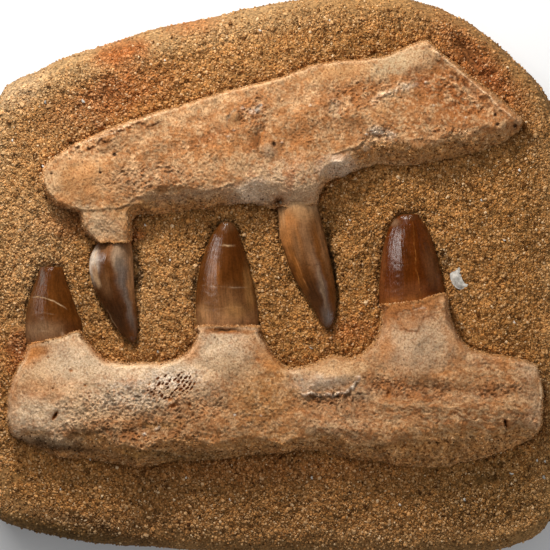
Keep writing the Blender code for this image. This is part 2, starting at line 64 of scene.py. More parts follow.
def smooth_loop(points, step):
    """Closed curve through the points, cut into equal steps; extra columns ride along."""
    points = np.array(points, dtype=float)
    before, after, second = (np.roll(points, n, axis=0) for n in (1, -1, -2))
    dense = []
    for t in np.linspace(0.0, 1.0, CURVE_CUTS, endpoint=False):
        dense.append(0.5 * (2 * points + (after - before) * t
                            + (2 * before - 5 * points + 4 * after - second) * t ** 2
                            + (3 * points - before - 3 * after + second) * t ** 3))
    dense = np.stack(dense, axis=1).reshape(-1, points.shape[1])
    dense[:, 2:] = np.clip(dense[:, 2:], points[:, 2:].min(axis=0), None)
    closed = np.vstack([dense, dense[:1]])
    reach = np.r_[0.0, np.cumsum(np.hypot(*np.diff(closed[:, :2], axis=0).T))]
    marks = np.linspace(0.0, reach[-1], round(reach[-1] / step), endpoint=False)
    return np.stack([np.interp(marks, reach, column) for column in closed.T], axis=1)


def smooth_path(points, count):
    """Open curve through the points, each of which may be a whole ring."""
    points = np.array(points, dtype=float)
    first_guess, last_guess = 2 * points[:1] - points[1:2], 2 * points[-1:] - points[-2:-1]
    guides = np.concatenate([first_guess, points, last_guess])
    marks = np.linspace(0, len(points) - 1, count)
    first = np.minimum(marks.astype(int), len(points) - 2)
    t = (marks - first).reshape((-1,) + (1,) * (points.ndim - 1))
    a, b, c, d = (guides[first + n] for n in range(4))
    return 0.5 * (2 * b + (c - a) * t + (2 * a - 5 * b + 4 * c - d) * t ** 2
                  + (3 * b - a - 3 * c + d) * t ** 3)


def inset(loop, depth):
    """A clockwise loop moved inwards by the depth."""
    along = np.roll(loop[:, :2], -1, axis=0) - np.roll(loop[:, :2], 1, axis=0)
    normal = np.stack([along[:, 1], -along[:, 0]], axis=1)
    return loop[:, :2] + normal / np.linalg.norm(normal, axis=1)[:, None] * depth

# %% Waviness and roughness
FINER = 2.1  # the second layer of waviness is this much finer
FINER_SHARE = 0.5  # and this much lower


def rumple(places, size, seed=0.0):
    """Smooth random swelling at each place, about -0.7 to 0.7, with lumps of the given size."""
    scaled = np.asarray(places, dtype=float) / size + seed
    return np.array([noise.noise(place) for place in scaled.tolist()])


def layers(places, rows, seed=0.0):
    """Sum of swellings, each a row of lump size, height and a seed of its own."""
    return sum(height * rumple(places, size, seed + own) for size, height, own in rows)


def on_plan(x, y):
    """Places on the plan, as points with no height."""
    return np.column_stack([x, y, np.zeros(len(x))])


def unevenness(x, y, size, height):
    """Smooth natural waviness over the plan."""
    place = np.column_stack([x / size, y / size, np.full(len(x), height)])
    return height * (rumple(place, 1.0) + FINER_SHARE * rumple(place * FINER, 1.0))


def ease(share):
    """Turn a share into a smooth step from 0 to 1."""
    share = np.clip(share, 0.0, 1.0)
    return share * share * (3.0 - 2.0 * share)

# %% Lumps and hollows
def turned(x, y, degrees):
    """Places measured along and across a direction."""
    turn = math.radians(degrees)
    return x * math.cos(turn) + y * math.sin(turn), y * math.cos(turn) - x * math.sin(turn)


def oval_reach(x, y, at_x, at_y, half_along, half_across, turn=0.0):
    """Squared distance from the middle of a turned oval, 1 on its outline."""
    along, across = turned(x - at_x, y - at_y, turn)
    return (along / half_along) ** 2 + (across / half_across) ** 2


def forms_at(forms, x, y):
    """Sum of rounded forms: x, y, half along, half across, turn (if any), height."""
    total = np.zeros(len(x))
    for *oval, height in forms:
        total += height * np.exp(-oval_reach(x, y, *oval))
    return total

# %% [markdown]
# ## The slab's face
# The slab was sawn nowhere: its sides are rounded by breaking, and its face was worked down
# around the bones until they stood free. So the face is a height over the plan: a level that
# falls towards the rim, a deeper hollow between the jaws where the tool went in, a few broad
# forms and some waviness. Bones, teeth and sand all ask this one function where they stand.

# %% Height of the worked face
SLAB_LENGTH = 241.0  # along X
SLAB_WIDTH = 227.0  # along Y
FACE_LEVEL = 34.0  # usual height of the face over the flat back
FACE_DOME = 2.5  # the face falls by this much towards the rim
JAW_GAP_HOLLOW = 2.0  # it is dug this much deeper between the jaws
JAW_GAP = (-10.0, 5.0, 75.0, 26.0)
FACE_WAVE_SIZE = 34.0
FACE_WAVE = 1.0
SLAB_FORMS = (
    (76, 92, 14, 3.2, -52, -2),  # gouge inside the rim
    (84, 96, 14, 2.2, -50, 1.2),  # the ridge beyond it
    (-60, -84, 40, 8, -4, -0.8),
    (84, -88, 24, 10, 10, 1),
    (-70, 80, 30, 8, 24, 0.9),
    (-100, 0, 8, 30, -0.8),
    (92, 10, 18, 26, -0.9),
)


def face_height(x, y):
    """Height of the slab's worked face at many places."""
    spread = (2 * x / SLAB_LENGTH) ** 2 + (2 * y / SLAB_WIDTH) ** 2
    hollow = np.exp(-oval_reach(x, y, *JAW_GAP))
    return (FACE_LEVEL - FACE_DOME * spread ** 2 - JAW_GAP_HOLLOW * hollow
            + forms_at(SLAB_FORMS, x, y) + unevenness(x, y, FACE_WAVE_SIZE, FACE_WAVE))


middle_height = float(face_height(np.zeros(1), np.zeros(1))[0])
print("in the middle the face lies", round(middle_height, 1), "mm over the back")

# %% [markdown]
# ## Outlines of the bones
# A jaw bone in relief is its outline, the run of its side at each place and a height in the
# middle. Natural surfaces roll over softly, broken ones fall away in a long crisp slope, and
# the square ends are where a tooth's crown stands on its root. The third column says which:
# it is the run of the side there.

# %% Plans of the two jaws
END = 0.6  # run of the square end of a root, against its crown
BROKEN_RUN = 5.2  # sides longer than this are broken faces with a crisp brow
BROKEN_EDGE = 1.5
ROUND_EDGE = 2.4
UPPER_JAW_PLAN = (
    (-93, 38.5, 4), (-91, 45, 4), (-85.5, 49.5, 3), (-76, 54.5, 3), (-62, 61, 3), (-42, 67, 3),
    (-23, 73, 3), (0.5, 79, 3), (11, 83, 3), (22, 85.5, 3), (42.5, 88, 3), (50, 90.5, 2.5),
    (60, 94.5, 2.5), (65, 91.5, 2.5), (75, 83.5, 2.5), (90, 72, 2.5), (98.5, 64.5, 3),
    (100, 61, 3.5), (96, 55.5, 6), (86.5, 51, 8), (70.5, 47, 9), (54.5, 44, 9), (42, 44.5, 8),
    (34, 42, 7), (26.5, 39.5, 6), (21.5, 37.5, 4), (18.5, 33, 4), (17.5, 29, 3), (15.5, 28, END),
    (9.5, 27, END), (3.5, 27, END), (0, 27, 3), (-4.5, 28, 6), (-13.5, 29, 9), (-25.5, 27, 8),
    (-39.5, 25, 8), (-51.5, 24.5, 7), (-56, 23, 4), (-56.5, 18.5, 4), (-56.8, 14.5, 3),
    (-58, 13, END), (-63.5, 13, END), (-69, 13, END), (-73, 15, 3), (-76.5, 19, 4), (-78, 24.5, 4),
    (-83, 26.5, 4), (-89.5, 30, 4),
)
LOWER_JAW_PLAN = (
    (-107, -51, 5), (-106, -45.5, 5), (-104, -39.5, 5), (-101.5, -34.5, 4.5), (-99, -29.5, 3),
    (-97.5, -27, END), (-87.5, -24.5, END), (-78, -22, END), (-76, -24.5, 3), (-72.5, -28, 3.5),
    (-69, -32, 3.5), (-64, -34, 3.5), (-53.5, -34.5, 3.5), (-43, -34, 3.5), (-36.5, -31.5, 3.5),
    (-32.5, -27.5, 3.5), (-31, -23, 3), (-30.5, -20, END), (-18, -19.5, END), (-6, -20, END),
    (-5, -23, 3), (-2, -28, 4), (2, -33.5, 4), (6.5, -36.5, 4), (13, -35.5, 4), (24, -31.5, 4),
    (30.5, -32.5, 4), (36, -30, 4), (40.5, -25.5, 5), (42.5, -20, 5), (43, -13.5, 4),
    (43.5, -11, END), (55, -10, END), (67, -7, END), (69.5, -9, 3), (71, -15.5, 5),
    (73.5, -22.5, 5), (78, -28, 5), (84, -30.5, 4.5), (96, -32.5, 4), (104.5, -35, 3),
    (107, -40, 2.5), (108, -47.5, 2.5), (108, -57.5, 3), (105.5, -63, 4), (96.5, -68.5, 8),
    (84.5, -73, 11), (70.5, -76.5, 12.5), (58.5, -77, 12), (44.5, -75, 10), (30.5, -73, 8),
    (14.5, -70, 7), (-7.5, -72, 8), (-25.5, -74, 9), (-43.5, -75, 8.5), (-54, -76.5, 9),
    (-75.5, -73.5, 9), (-87.5, -72.5, 8), (-96, -68.5, 6), (-104, -64.5, 5), (-107, -58.5, 5),
)
OUTLINE_STEP = 1.2
RAGGED = ((7.0, 0.5, 0.0), (2.6, 0.45, 0.0))  # size, height and seed of the edge
ROLLED_SHARE = 0.62  # rolled sides are this much shorter than in the plan
RUN_WAVE = ((9.0, 1.0, 0.5), (3.5, 0.5, 0.0))  # and broken ones vary by such shares


def ragged_loop(plan, seed):
    """Outline of a bone with the small irregularities of a natural edge."""
    loop = smooth_loop(plan, OUTLINE_STEP)
    flat = on_plan(loop[:, 0], loop[:, 1])
    wave = 1.0 + layers(flat, RUN_WAVE, seed)
    run = loop[:, 2] * np.where(loop[:, 2] > BROKEN_RUN, wave, ROLLED_SHARE)
    return np.column_stack([inset(loop, layers(flat, RAGGED, seed)[:, None]), run])


upper_loop, lower_loop = ragged_loop(UPPER_JAW_PLAN, 1.0), ragged_loop(LOWER_JAW_PLAN, 2.0)
print("outline points:", len(upper_loop), len(lower_loop))

# %% How deep a place lies inside an outline
CHUNK = 256  # places read at a time, few enough for the processor's cache
FAR = 99.0  # stands for a side that is nowhere near
TINY = 1e-6  # stands for nought where it would divide


def read_edge(loop, x, y):
    """Depth inside the loop, share of the side's height, and depth from its open sides."""
    places = np.column_stack([x, y]).astype(np.float32)
    start = loop.astype(np.float32)
    step = np.roll(start, -1, axis=0) - start
    step_x, step_y = step[:, 0], step[:, 1]
    square = step_x * step_x + step_y * step_y
    slope = step_x / np.where(step_y == 0.0, TINY, step_y)
    found = []
    for n in range(0, len(x), CHUNK):
        across = places[n:n + CHUNK, 0:1] - start[:, 0]
        up = places[n:n + CHUNK, 1:2] - start[:, 1]
        crossed = ((up < 0.0) != (up < step_y)) & (across < up * slope)
        inside = np.count_nonzero(crossed, axis=1) % 2 == 1
        along = across * (step_x / square) + up * (step_y / square)
        np.clip(along, 0.0, 1.0, out=along)
        across -= along * step_x
        up -= along * step_y
        distance = np.sqrt(across * across + up * up)
        run = start[:, 2] + along * step[:, 2]
        share = np.minimum(distance / run, 1.0)
        broken = run > BROKEN_RUN * ROLLED_SHARE
        crisp = np.where(broken, share, 1.0).min(axis=1)
        round_off = np.where(broken, 1.0, share).min(axis=1)
        wall = np.minimum(1.0 - (1.0 - crisp) ** BROKEN_EDGE,
                          1.0 - (1.0 - round_off) ** ROUND_EDGE)
        open_side = np.where(run > 2 * END, distance, FAR).min(axis=1)
        found.append((np.where(inside, 1.0, -1.0) * distance.min(axis=1), wall, open_side))
    return [np.concatenate(column).astype(float) for column in zip(*found)]

# %% [markdown]
# ## A relief as a mesh
# A plain grid would leave a stair of squares along the outline. Instead, points in a honeycomb
# fill the outline, and Blender's constrained Delaunay triangulation joins them to it, so the
# edge runs exactly along the curve. A wall and a flat floor close the mesh underneath, which
# makes it a solid that could be printed. The spacing follows from the number of triangles that
# is given for the piece.

# %% Fill an outline with fine triangles
SHARP_ANGLE = 50.0  # degrees; edges over this are shaded sharp
HONEYCOMB = math.sqrt(3) / 2
JITTER = 0.12  # how far a point strays, as a share of the spacing
JITTER_SEED = 5
EDGE_ROOM = 0.6  # points keep this far from the edge, as a share of the spacing
INSIDE = 1  # the triangulation keeps what lies inside the outline
MERGE = 1e-5  # and takes points this close for one


def honeycomb(x_from, x_to, y_from, y_to, step):
    """Points a step apart in staggered rows, each moved a little."""
    rows = np.arange(y_from, y_to, step * HONEYCOMB)
    columns = np.arange(x_from - step, x_to + step, step)
    field_x = (columns[None, :] + 0.5 * step * (np.arange(len(rows)) % 2)[:, None]).ravel()
    field_y = np.repeat(rows, len(columns))
    stray = np.random.default_rng(JITTER_SEED).uniform(-JITTER, JITTER, (2, len(field_x))) * step
    return field_x + stray[0], field_y + stray[1]


def fill_plan(loop, triangles, fine_patch=None):
    """Plan points, triangles, and which points lie on the loop; an oval may be twice as fine."""
    x, y = loop[:, 0], loop[:, 1]
    area = 0.5 * abs(np.sum(x * np.roll(y, -1) - y * np.roll(x, -1)))
    step = math.sqrt(2 * area / (HONEYCOMB * triangles))
    field_x, field_y = honeycomb(x.min(), x.max(), y.min(), y.max(), step)
    depth = read_edge(loop, field_x, field_y)[0]
    field = np.column_stack([field_x, field_y])[depth > EDGE_ROOM * step]
    if fine_patch:
        at_x, at_y, reach = fine_patch[0], fine_patch[1], max(fine_patch[2:4])
        fine = np.column_stack(honeycomb(at_x - reach, at_x + reach, at_y - reach, at_y + reach,
                                         step / 2))
        field = np.vstack([field[oval_reach(*field.T, *fine_patch) > 1.0],
                           fine[oval_reach(*fine.T, *fine_patch) <= 1.0]])
    points = [Vector(point) for point in np.vstack([loop[:, :2], field]).tolist()]
    rim = [(n, (n + 1) % len(loop)) for n in range(len(loop))]
    placed, _, faces, origins, _, _ = geometry.delaunay_2d_cdt(points, rim, [], INSIDE, MERGE)
    edge = np.zeros(len(loop), dtype=int)
    for at, origin in enumerate(origins):
        if origin and origin[0] < len(loop):
            edge[origin[0]] = at
    print("filled with", len(faces), "triangles,", round(step, 2), "mm apart")
    return np.array([point[:] for point in placed]), faces, edge

# %% Turn points and faces into a piece
def add_object(name, data):
    """A new object in the scene."""
    made = bpy.data.objects.new(name, data)
    bpy.context.scene.collection.objects.link(made)
    return made


def add_mesh(name, data):
    """A new piece in the scene, with its triangles counted."""
    data.calc_loop_triangles()
    print(name, "has", len(data.loop_triangles), "triangles")
    return add_object(name, data)


def make_piece(name, places, faces, material, colours, sharp=True):
    """Mesh object from points in millimetres, with a colour for each point."""
    data = bpy.data.meshes.new(name)
    data.from_pydata((np.asarray(places) * MM).tolist(), [], faces)
    data.update()
    tint = data.color_attributes.new("tint", "FLOAT_COLOR", "POINT")
    filled = np.column_stack([np.clip(colours, 0.0, 1.0), np.ones(len(colours))])
    tint.data.foreach_set("color", filled.ravel())
    data.materials.append(material)
    data.shade_smooth()
    if sharp:
        data.set_sharp_from_angle(angle=math.radians(SHARP_ANGLE))
    return add_mesh(name, data)

# %% Faces between rings
def ring_faces(rings):
    """Four-sided faces between rings of point numbers, from each ring to the next."""
    faces = []
    for low, high in zip(rings, rings[1:]):
        faces += np.column_stack([low, np.roll(low, -1), np.roll(high, -1), high]).tolist()
    return faces


def tube_faces(count, sides):
    """Faces of a tube of rings that is closed at both ends."""
    rings = np.arange(count * sides).reshape(count, sides)
    return ring_faces(rings) + [rings[0, ::-1].tolist(), rings[-1].tolist()]


def close_relief(surface, faces, edge, floor):
    """Add a wall and a flat floor under a relief."""
    low = surface[edge] * (1, 1, 0) + (0, 0, floor)
    foot = len(surface) + np.arange(len(edge))
    faces += ring_faces([edge, foot]) + [foot.tolist()]
    return np.vstack([surface, low]), faces

# %% Values on points, and faces turned outwards
def store(piece, name, values):
    """Keep a value for each point of a piece, under a name."""
    made = piece.data.attributes.new(name, "FLOAT", "POINT")
    made.data.foreach_set("value", values)


def outward_mesh(piece):
    """Turn a closed mesh's faces outwards, by the sign of its volume."""
    data = piece.data
    data.calc_loop_triangles()
    points = np.array([v.co[:] for v in data.vertices])
    corners = np.array([t.vertices[:] for t in data.loop_triangles])
    a, b, c = (points[corners[:, n]] for n in range(3))
    volume = np.einsum("ij,ij->i", a, np.cross(b, c)).sum() / 6
    if volume < 0:
        data.flip_normals()
    print(piece.name, "holds", round(abs(volume) / MM ** 3 / 1000, 2), "cm3")
    return piece

# %% [markdown]
# ## Colours laid one by one
# Old bone takes its colour from what soaked into it: iron gives orange, rust and brown, and
# what was polished by handling stays cream. Such stains follow no formula, so they are laid
# where they belong, as soft ovals of a named colour with edges that noise makes ragged. Some
# ovals are painted light or painted shade rather than stains, and are marked so where they stand.
# They are stored on the mesh as a colour attribute, which the material reads. The values are
# linear light, as Blender works with them.

# %% The palette
PALETTE = {
    "ivory": (0.74, 0.54, 0.35), "cream": (0.60, 0.37, 0.19), "chalk": (0.80, 0.64, 0.48),
    "rim_ivory": (0.80, 0.56, 0.34), "peach": (0.52, 0.27, 0.11), "buff": (0.60, 0.395, 0.235),
    # the flank colour on this line is lighter than the broken sides: partly their fresh colour,
    # partly painted light against their shade
    "tan": (0.42, 0.205, 0.085), "orange": (0.38, 0.145, 0.042), "flank": (0.66, 0.33, 0.115),
    "flame": (0.52, 0.20, 0.055), "rust": (0.28, 0.095, 0.03), "ochre": (0.40, 0.185, 0.055),
    "iron": (0.36, 0.09, 0.025), "brown": (0.24, 0.11, 0.042), "bark": (0.13, 0.058, 0.022),
    "umber": (0.05, 0.022, 0.010), "clay": (0.38, 0.23, 0.125), "grey_beige": (0.42, 0.28, 0.165),
    "grey": (0.37, 0.29, 0.195), "slate": (0.16, 0.15, 0.14), "grit": (0.43, 0.295, 0.175),
    "olive": (0.215, 0.118, 0.038), "amber": (0.38, 0.13, 0.024), "mauve": (0.120, 0.036, 0.006),
    "mahogany": (0.085, 0.022, 0.003), "maroon": (0.115, 0.024, 0.002),
    # the first colour on this line is a bluish grey for painted highlights on the enamel
    "highlight_grey": (0.17, 0.125, 0.095), "pitch": (0.045, 0.018, 0.007), "plate": (0.50, 0.355, 0.20),
    "shell": (0.58, 0.53, 0.46), "sand": (0.465, 0.222, 0.066), "light_sand": (0.57, 0.34, 0.15),
    "red_sand": (0.46, 0.152, 0.040), "dark_sand": (0.265, 0.124, 0.042),
}
SWAY = ((5.0, 2.0, 0.0), (1.6, 0.9, 0.5))  # size, reach and seed of the raggedness of a mark
MARK_EDGE = 1.5  # higher makes a mark end more suddenly
print(len(PALETTE), "named colours")


def coat(name, count):
    """One named colour for each of so many points."""
    return np.tile(np.array(PALETTE[name], dtype=float), (count, 1))


def wander(x, y, seed):
    """Move places about a little, so that what is laid there gets a ragged edge."""
    flat = on_plan(x, y)
    return x + layers(flat, SWAY, seed + 1), y + layers(flat, SWAY, seed + 2)


def stain(colours, name, share):
    """Let a share of each place's colour give way to a named one."""
    colours += np.clip(share, 0.0, 1.0)[:, None] * (np.array(PALETTE[name]) - colours)


def lay(colours, x, y, marks):
    """Lay soft ovals of colour: its name, x, y, half along, half across, turn (if any), share."""
    for name, *oval, share in marks:
        stain(colours, name, share * np.exp(-oval_reach(x, y, *oval) ** MARK_EDGE))


def two_tones(colours, swell, share, high, low, start, run):
    """Stain with one colour where noise swells high and with another where it is low."""
    stain(colours, high, share * ease((swell - start) / run))
    stain(colours, low, share * ease((-swell - start) / run))

# %% Seams: cracks, flaked edges and pale lines
SEAM_REACH = 2.4  # how far a flake's lowered side reaches from its edge
SEAM_FADE = 2.5  # a seam fades in and out over this length
SEAM_PATCH = (2.6, 1.3, 31.0)  # size, share and seed of the gaps in a seam
SEAM_WHOLE = 0.85  # usual strength of a seam
SEAM_MOST = 1.2  # and its greatest


def beside(line, x, y):
    """Distance from a line, which side a place is on, and a share that fades at its ends."""
    line = np.reshape(line, (-1, 2))
    nearest = np.full(len(x), FAR ** 2)
    right = np.zeros(len(x))
    for (ax, ay), (bx, by) in zip(line, line[1:]):
        dx, dy = bx - ax, by - ay
        t = np.clip(((x - ax) * dx + (y - ay) * dy) / (dx * dx + dy * dy), 0.0, 1.0)
        distance = np.hypot(x - ax - t * dx, y - ay - t * dy)
        closer = distance < nearest
        nearest = np.where(closer, distance, nearest)
        right = np.where(closer, (x - ax) * dy - (y - ay) * dx > 0, right)
    ends = np.minimum(*(np.hypot(x - end_x, y - end_y) for end_x, end_y in (line[0], line[-1])))
    return nearest, right, 1.0 - np.exp(-(ends / SEAM_FADE) ** 2)


def seam_relief(seams, x, y, colours):
    """Relief of seams, whose right-hand side lies lower; their colours are laid too.

    A seam is a colour, its share, half width, depth, drop beside it, and x, y along its line.
    """
    total = np.zeros(len(x))
    patchy = np.clip(SEAM_WHOLE + layers(on_plan(x, y), [SEAM_PATCH]), 0.0, SEAM_MOST)
    for name, share, width, groove, drop, line in seams:
        distance, right, whole = beside(line, x, y)
        whole = whole * patchy
        mark = np.exp(-(distance / width) ** 2) * whole
        side = right * ease(distance / width) * np.exp(-(distance / SEAM_REACH) ** 2) * whole
        total -= groove * mark + drop * side
        stain(colours, name, share * mark)
    return total

# %% [markdown]
# ## Materials
# Each finish reads the painted colour and adds what is too fine for the mesh: a mottle of a
# few tenths of a millimetre, and a bump of the same size. All of it is on Object coordinates,
# which stick to a piece that never moves in its own space. Numbers that are the same all over
# are set on the shader itself.

# %% Node helpers
def node(tree, kind, inputs=None, **settings):
    """Add a node; an input is given a value or another node's output."""
    made = tree.nodes.new(kind)
    for key, value in settings.items():
        setattr(made, key, value)
    for name, value in (inputs or {}).items():
        if isinstance(value, bpy.types.NodeSocket):
            tree.links.new(value, made.inputs[name])
        else:
            made.inputs[name].default_value = value
    return made


def ramp(tree, factor, stops):
    """Colour ramp from positions and grey or colour values."""
    made = node(tree, "ShaderNodeValToRGB", {"Fac": factor})
    elements = made.color_ramp.elements
    while len(elements) < len(stops):
        elements.new(0.5)
    for element, (position, value) in zip(elements, stops):
        element.position = position
        element.color = (*value, 1.0) if isinstance(value, tuple) else (value, value, value, 1.0)
    return made.outputs["Color"]


def multiply(tree, colour, by):
    """Colour multiplied by another."""
    made = node(tree, "ShaderNodeMix", {0: 1.0, 6: colour, 7: by}, data_type="RGBA",
                blend_type="MULTIPLY")
    return made.outputs[2]


def blend(tree, share, colour, other):
    """Colour that gives way to another by a share."""
    made = node(tree, "ShaderNodeMix", {0: share, 6: colour, 7: other}, data_type="RGBA")
    return made.outputs[2]


def new_material(name, settings):
    """Principled material with fixed values on the shader; gives the tree and the shader."""
    material = bpy.data.materials.new(name)
    material.use_nodes = True
    tree = material.node_tree
    shader = tree.nodes["Principled BSDF"]
    for key, value in settings.items():
        shader.inputs[key].default_value = value
    return material, tree, shader


def bumpy(tree, shader, height, strength, distance):
    """Fine bump from a height, in millimetres."""
    made = node(tree, "ShaderNodeBump", {"Height": height, "Strength": strength,
                                         "Distance": distance * MM})
    tree.links.new(made.outputs["Normal"], shader.inputs["Normal"])

# %% Bone and rock
CLEAN = (1.0, 1.0, 1.0)
DRY = 0.08  # a dry mineral has next to no sheen
MOTTLE_STOPS = (0.38, 0.5, 0.64)  # where the mottle is dark, even and light
MOTTLE_BUMP = 0.6
# colour of a grain and its share of pale quartz, by the grain's own tone from 0 to 1
GRAIN_TONES = ((0.0, (0.16, 0.12, 0.09)), (0.16, (0.55, 0.47, 0.39)), (0.5, (0.95, 0.90, 0.84)),
               (0.9, (1.0, 1.0, 0.96)))
PALE_SHARE = ((0.55, 0.0), (0.94, 0.22), (0.985, 0.5), (1.0, 0.95))
PALE_GRAIN = (0.74, 0.53, 0.31, 1.0)


def painted(tree, name="tint", output="Color"):
    """What is stored on the mesh under a name."""
    return node(tree, "ShaderNodeAttribute", attribute_name=name).outputs[output]


def fine_noise(tree, size, **settings):
    """Noise of a size in millimetres, on the piece's own coordinates."""
    place = node(tree, "ShaderNodeTexCoord").outputs["Object"]
    inputs = {"Vector": place, "Scale": 1 / (size * MM), **settings}
    return node(tree, "ShaderNodeTexNoise", inputs).outputs["Fac"]


def mineral(name, mottle_size, contrast, bump, roughness, shade=1.0, tone=False, dirt=CLEAN):
    """A dry mineral finish over the painted colour, with dirt in its darker specks."""
    material, tree, shader = new_material(name, {"Roughness": roughness, "Specular IOR Level": DRY})
    mottle = fine_noise(tree, mottle_size, Detail=4.0, Roughness=0.65)
    dark = tuple(shade * (1.0 - contrast) * part for part in dirt)
    tones = (dark, shade, shade * (1.0 + contrast))
    spread = ramp(tree, mottle, tuple(zip(MOTTLE_STOPS, tones)))
    colour = multiply(tree, painted(tree), spread)
    if tone:
        grain = painted(tree, "tone", "Fac")
        colour = multiply(tree, colour, ramp(tree, grain, GRAIN_TONES))
        colour = blend(tree, ramp(tree, grain, PALE_SHARE), colour, PALE_GRAIN)
    tree.links.new(colour, shader.inputs["Base Color"])
    bumpy(tree, shader, mottle, MOTTLE_BUMP, bump)
    return material


bone_finish = mineral("fossil_bone", 0.7, 0.24, 0.24, 0.85, shade=0.91, dirt=(1.0, 0.88, 0.74))
# the rock's own face is laid darker than its sand, as painted shade in the gaps between the grains
rock_finish = mineral("sandy_rock", 1.0, 0.5, 0.4, 0.95, shade=0.55)
grain_finish = mineral("sand_grain", 0.6, 0.2, 0.05, 0.85, tone=True)
print("finishes:", bone_finish.name, rock_finish.name, grain_finish.name)

# %% [markdown]
# ## The bones
# The surface of a bone is the CAD form with detail added: a fine grit all over, crumbly zones
# where the dense outer layer has gone, fibres that run along the bone, single pits, and seams
# where the outer layer flaked off. Each is a small height that is added up, and none of it
# reaches the foot of the side, so that the outline stays. The same detail darkens the colour
# where it is low, as painted shade, and lightens it where it is high, as painted light.

# %% Detail shared by both bones
USUAL_HEIGHT = {"upper_jaw_bone": 9.5, "lower_jaw_bone": 10.5}
BONE_CAMBER = 2.0  # extra height in the middle of a broad bone
CAMBER_REACH = 9.0
BONE_FLOOR = 26.0  # underside of the bones, inside the slab
FOOT_SINK = 1.0  # the foot of a side is this far under the face
BONE_WAVE_SIZE = 8.0
BONE_WAVE = 0.7
BONE_TRIANGLES = 180000
DETAIL_RUN = 1.2  # depth inside the outline where the detail is whole
SEAM_SWAY = 0.35  # seams stray by this share of what stains do
# layers of noise: lump size, height and seed
GRIT = ((3.0, 0.14, 0.0), (1.5, 0.19, 0.0), (0.85, 0.27, 0.0))
CALM = 0.7  # a smooth place has this much less grit
CRUMB = ((3.0, 0.45), (1.6, 0.75), (0.95, 0.55))  # lump size and height
CRUMB_TOP = 0.32  # crumbs are broad tops
CRUMB_CLEFT = 1.5  # between sharp clefts
FIBRE = ((4.0, 1.0, 3.0), (2.4, 0.6, 3.0))  # lump size along, across and up
FIBRE_HEIGHT = 0.34
FIBRE_SEED = 3
HOLE_TILT = 50.0  # slant of the holes of spongy bone
HOLE_PITCH = (2.1, 1.4)  # along the slant and across it
HOLE_SHARE = (0.40, 0.32)  # half size of a hole as a share of the pitch
HOLE_MISSING = 0.3  # share of the holes that are filled in
HOLE_DEPTH = 1.2
FLANK_GAIN = 5.0  # how soon a broken side shows below the brow
FLANK_FADE = 6.0  # run over which broken sides begin on the plan
FLANK_ROUGH = 0.75  # how crumbly a broken side is, and how sandy

# %% Colours shared by both bones
STREAK = (5.0, 1.1)  # size of a streak of colour, along and across
STREAK_SEED = 8.0
STREAK_STEP = (0.05, 0.3)  # where a streak begins and its run
RIM_PLACE = 1.2  # a pale line follows the edge at this depth
RIM_WIDTH = 0.9
RIM_GLOW = 0.6  # and an orange one runs outside it
RIM_GLOW_WIDTH = 0.45
# layers of noise: lump size, height and seed
SPOTTY = ((3.6, 1.0, 9.0), (1.5, 0.9, 13.0), (0.9, 0.6, 17.0))
SPOTTY_STEP = (0.15, 0.3)
FLANK_TONE = ((1.4, 0.8, 2.0),)
BROAD_TONE = ((7.0, 0.16, 4.0),)
FINE_TONE = ((2.4, 0.2, 6.0), (1.0, 0.3, 5.0))
LOW_PAINTED_SHADE = 0.42  # painted shade: grooves are darker by this
HIGH_PAINTED_LIGHT = 0.3  # and painted light: ridges are lighter
TONE_REACH = 0.6  # at this height or depth
SPECK = (0.9, 12.0)  # size and seed of the specks
RUST_SPECK = (0.6, 0.33, 0.12)  # share, beginning and run
DARK_SPECK = (0.7, 0.40, 0.10)
PIT_STEP = (0.2, 0.4)  # depth at which a pit's colour begins, and its run
PIT_STAIN = 0.9
SAND_TONE = ((1.3, 0.8, 21.0),)
SAND_USUAL = 0.85
SAND_LUMPS = (1.6, 23.0, 0.5)  # size, seed and height of the sand lying on bone
SAND_COVER = 0.9  # how much of the bone's colour it hides
FOOT_SAND = (0.8, 1.6, 1.4)  # its share along the foot, from which depth, over which run


KINDS = ("crumbly", "fibrous", "smooth", "sandy")


def zone(ovals, x, y):
    """Share of a kind of surface: x, y, half along, half across, turn (if any), share."""
    total = np.zeros(len(x))
    for *oval, share in ovals:
        total = np.maximum(total, share * np.exp(-oval_reach(x, y, *oval) ** 2))
    return total


def slanting_holes(x, y, patch):
    """How deep a place lies in the holes of a patch of spongy bone, from 0 to 1."""
    along, across = turned(x, y, HOLE_TILT)
    along, across = along / HOLE_PITCH[0], across / HOLE_PITCH[1]
    row = np.floor(across)
    along = along + 3.0 * np.sin(row * 7.3)  # big odd factors scatter the rows and holes
    column = np.floor(along)
    chance = np.abs(np.sin(row * 12.9898 + column * 78.233) * 43758.5453) % 1.0
    away = np.hypot((along - column - 0.35 - 0.3 * chance) / HOLE_SHARE[0],
                    (across - row - 0.65 + 0.3 * chance) / HOLE_SHARE[1]) / (0.55 + 0.6 * chance)
    inside = ease((1.1 - oval_reach(x, y, *patch)) / 0.5) * (chance > HOLE_MISSING)
    return ease((1.25 - away) / 0.6) * inside

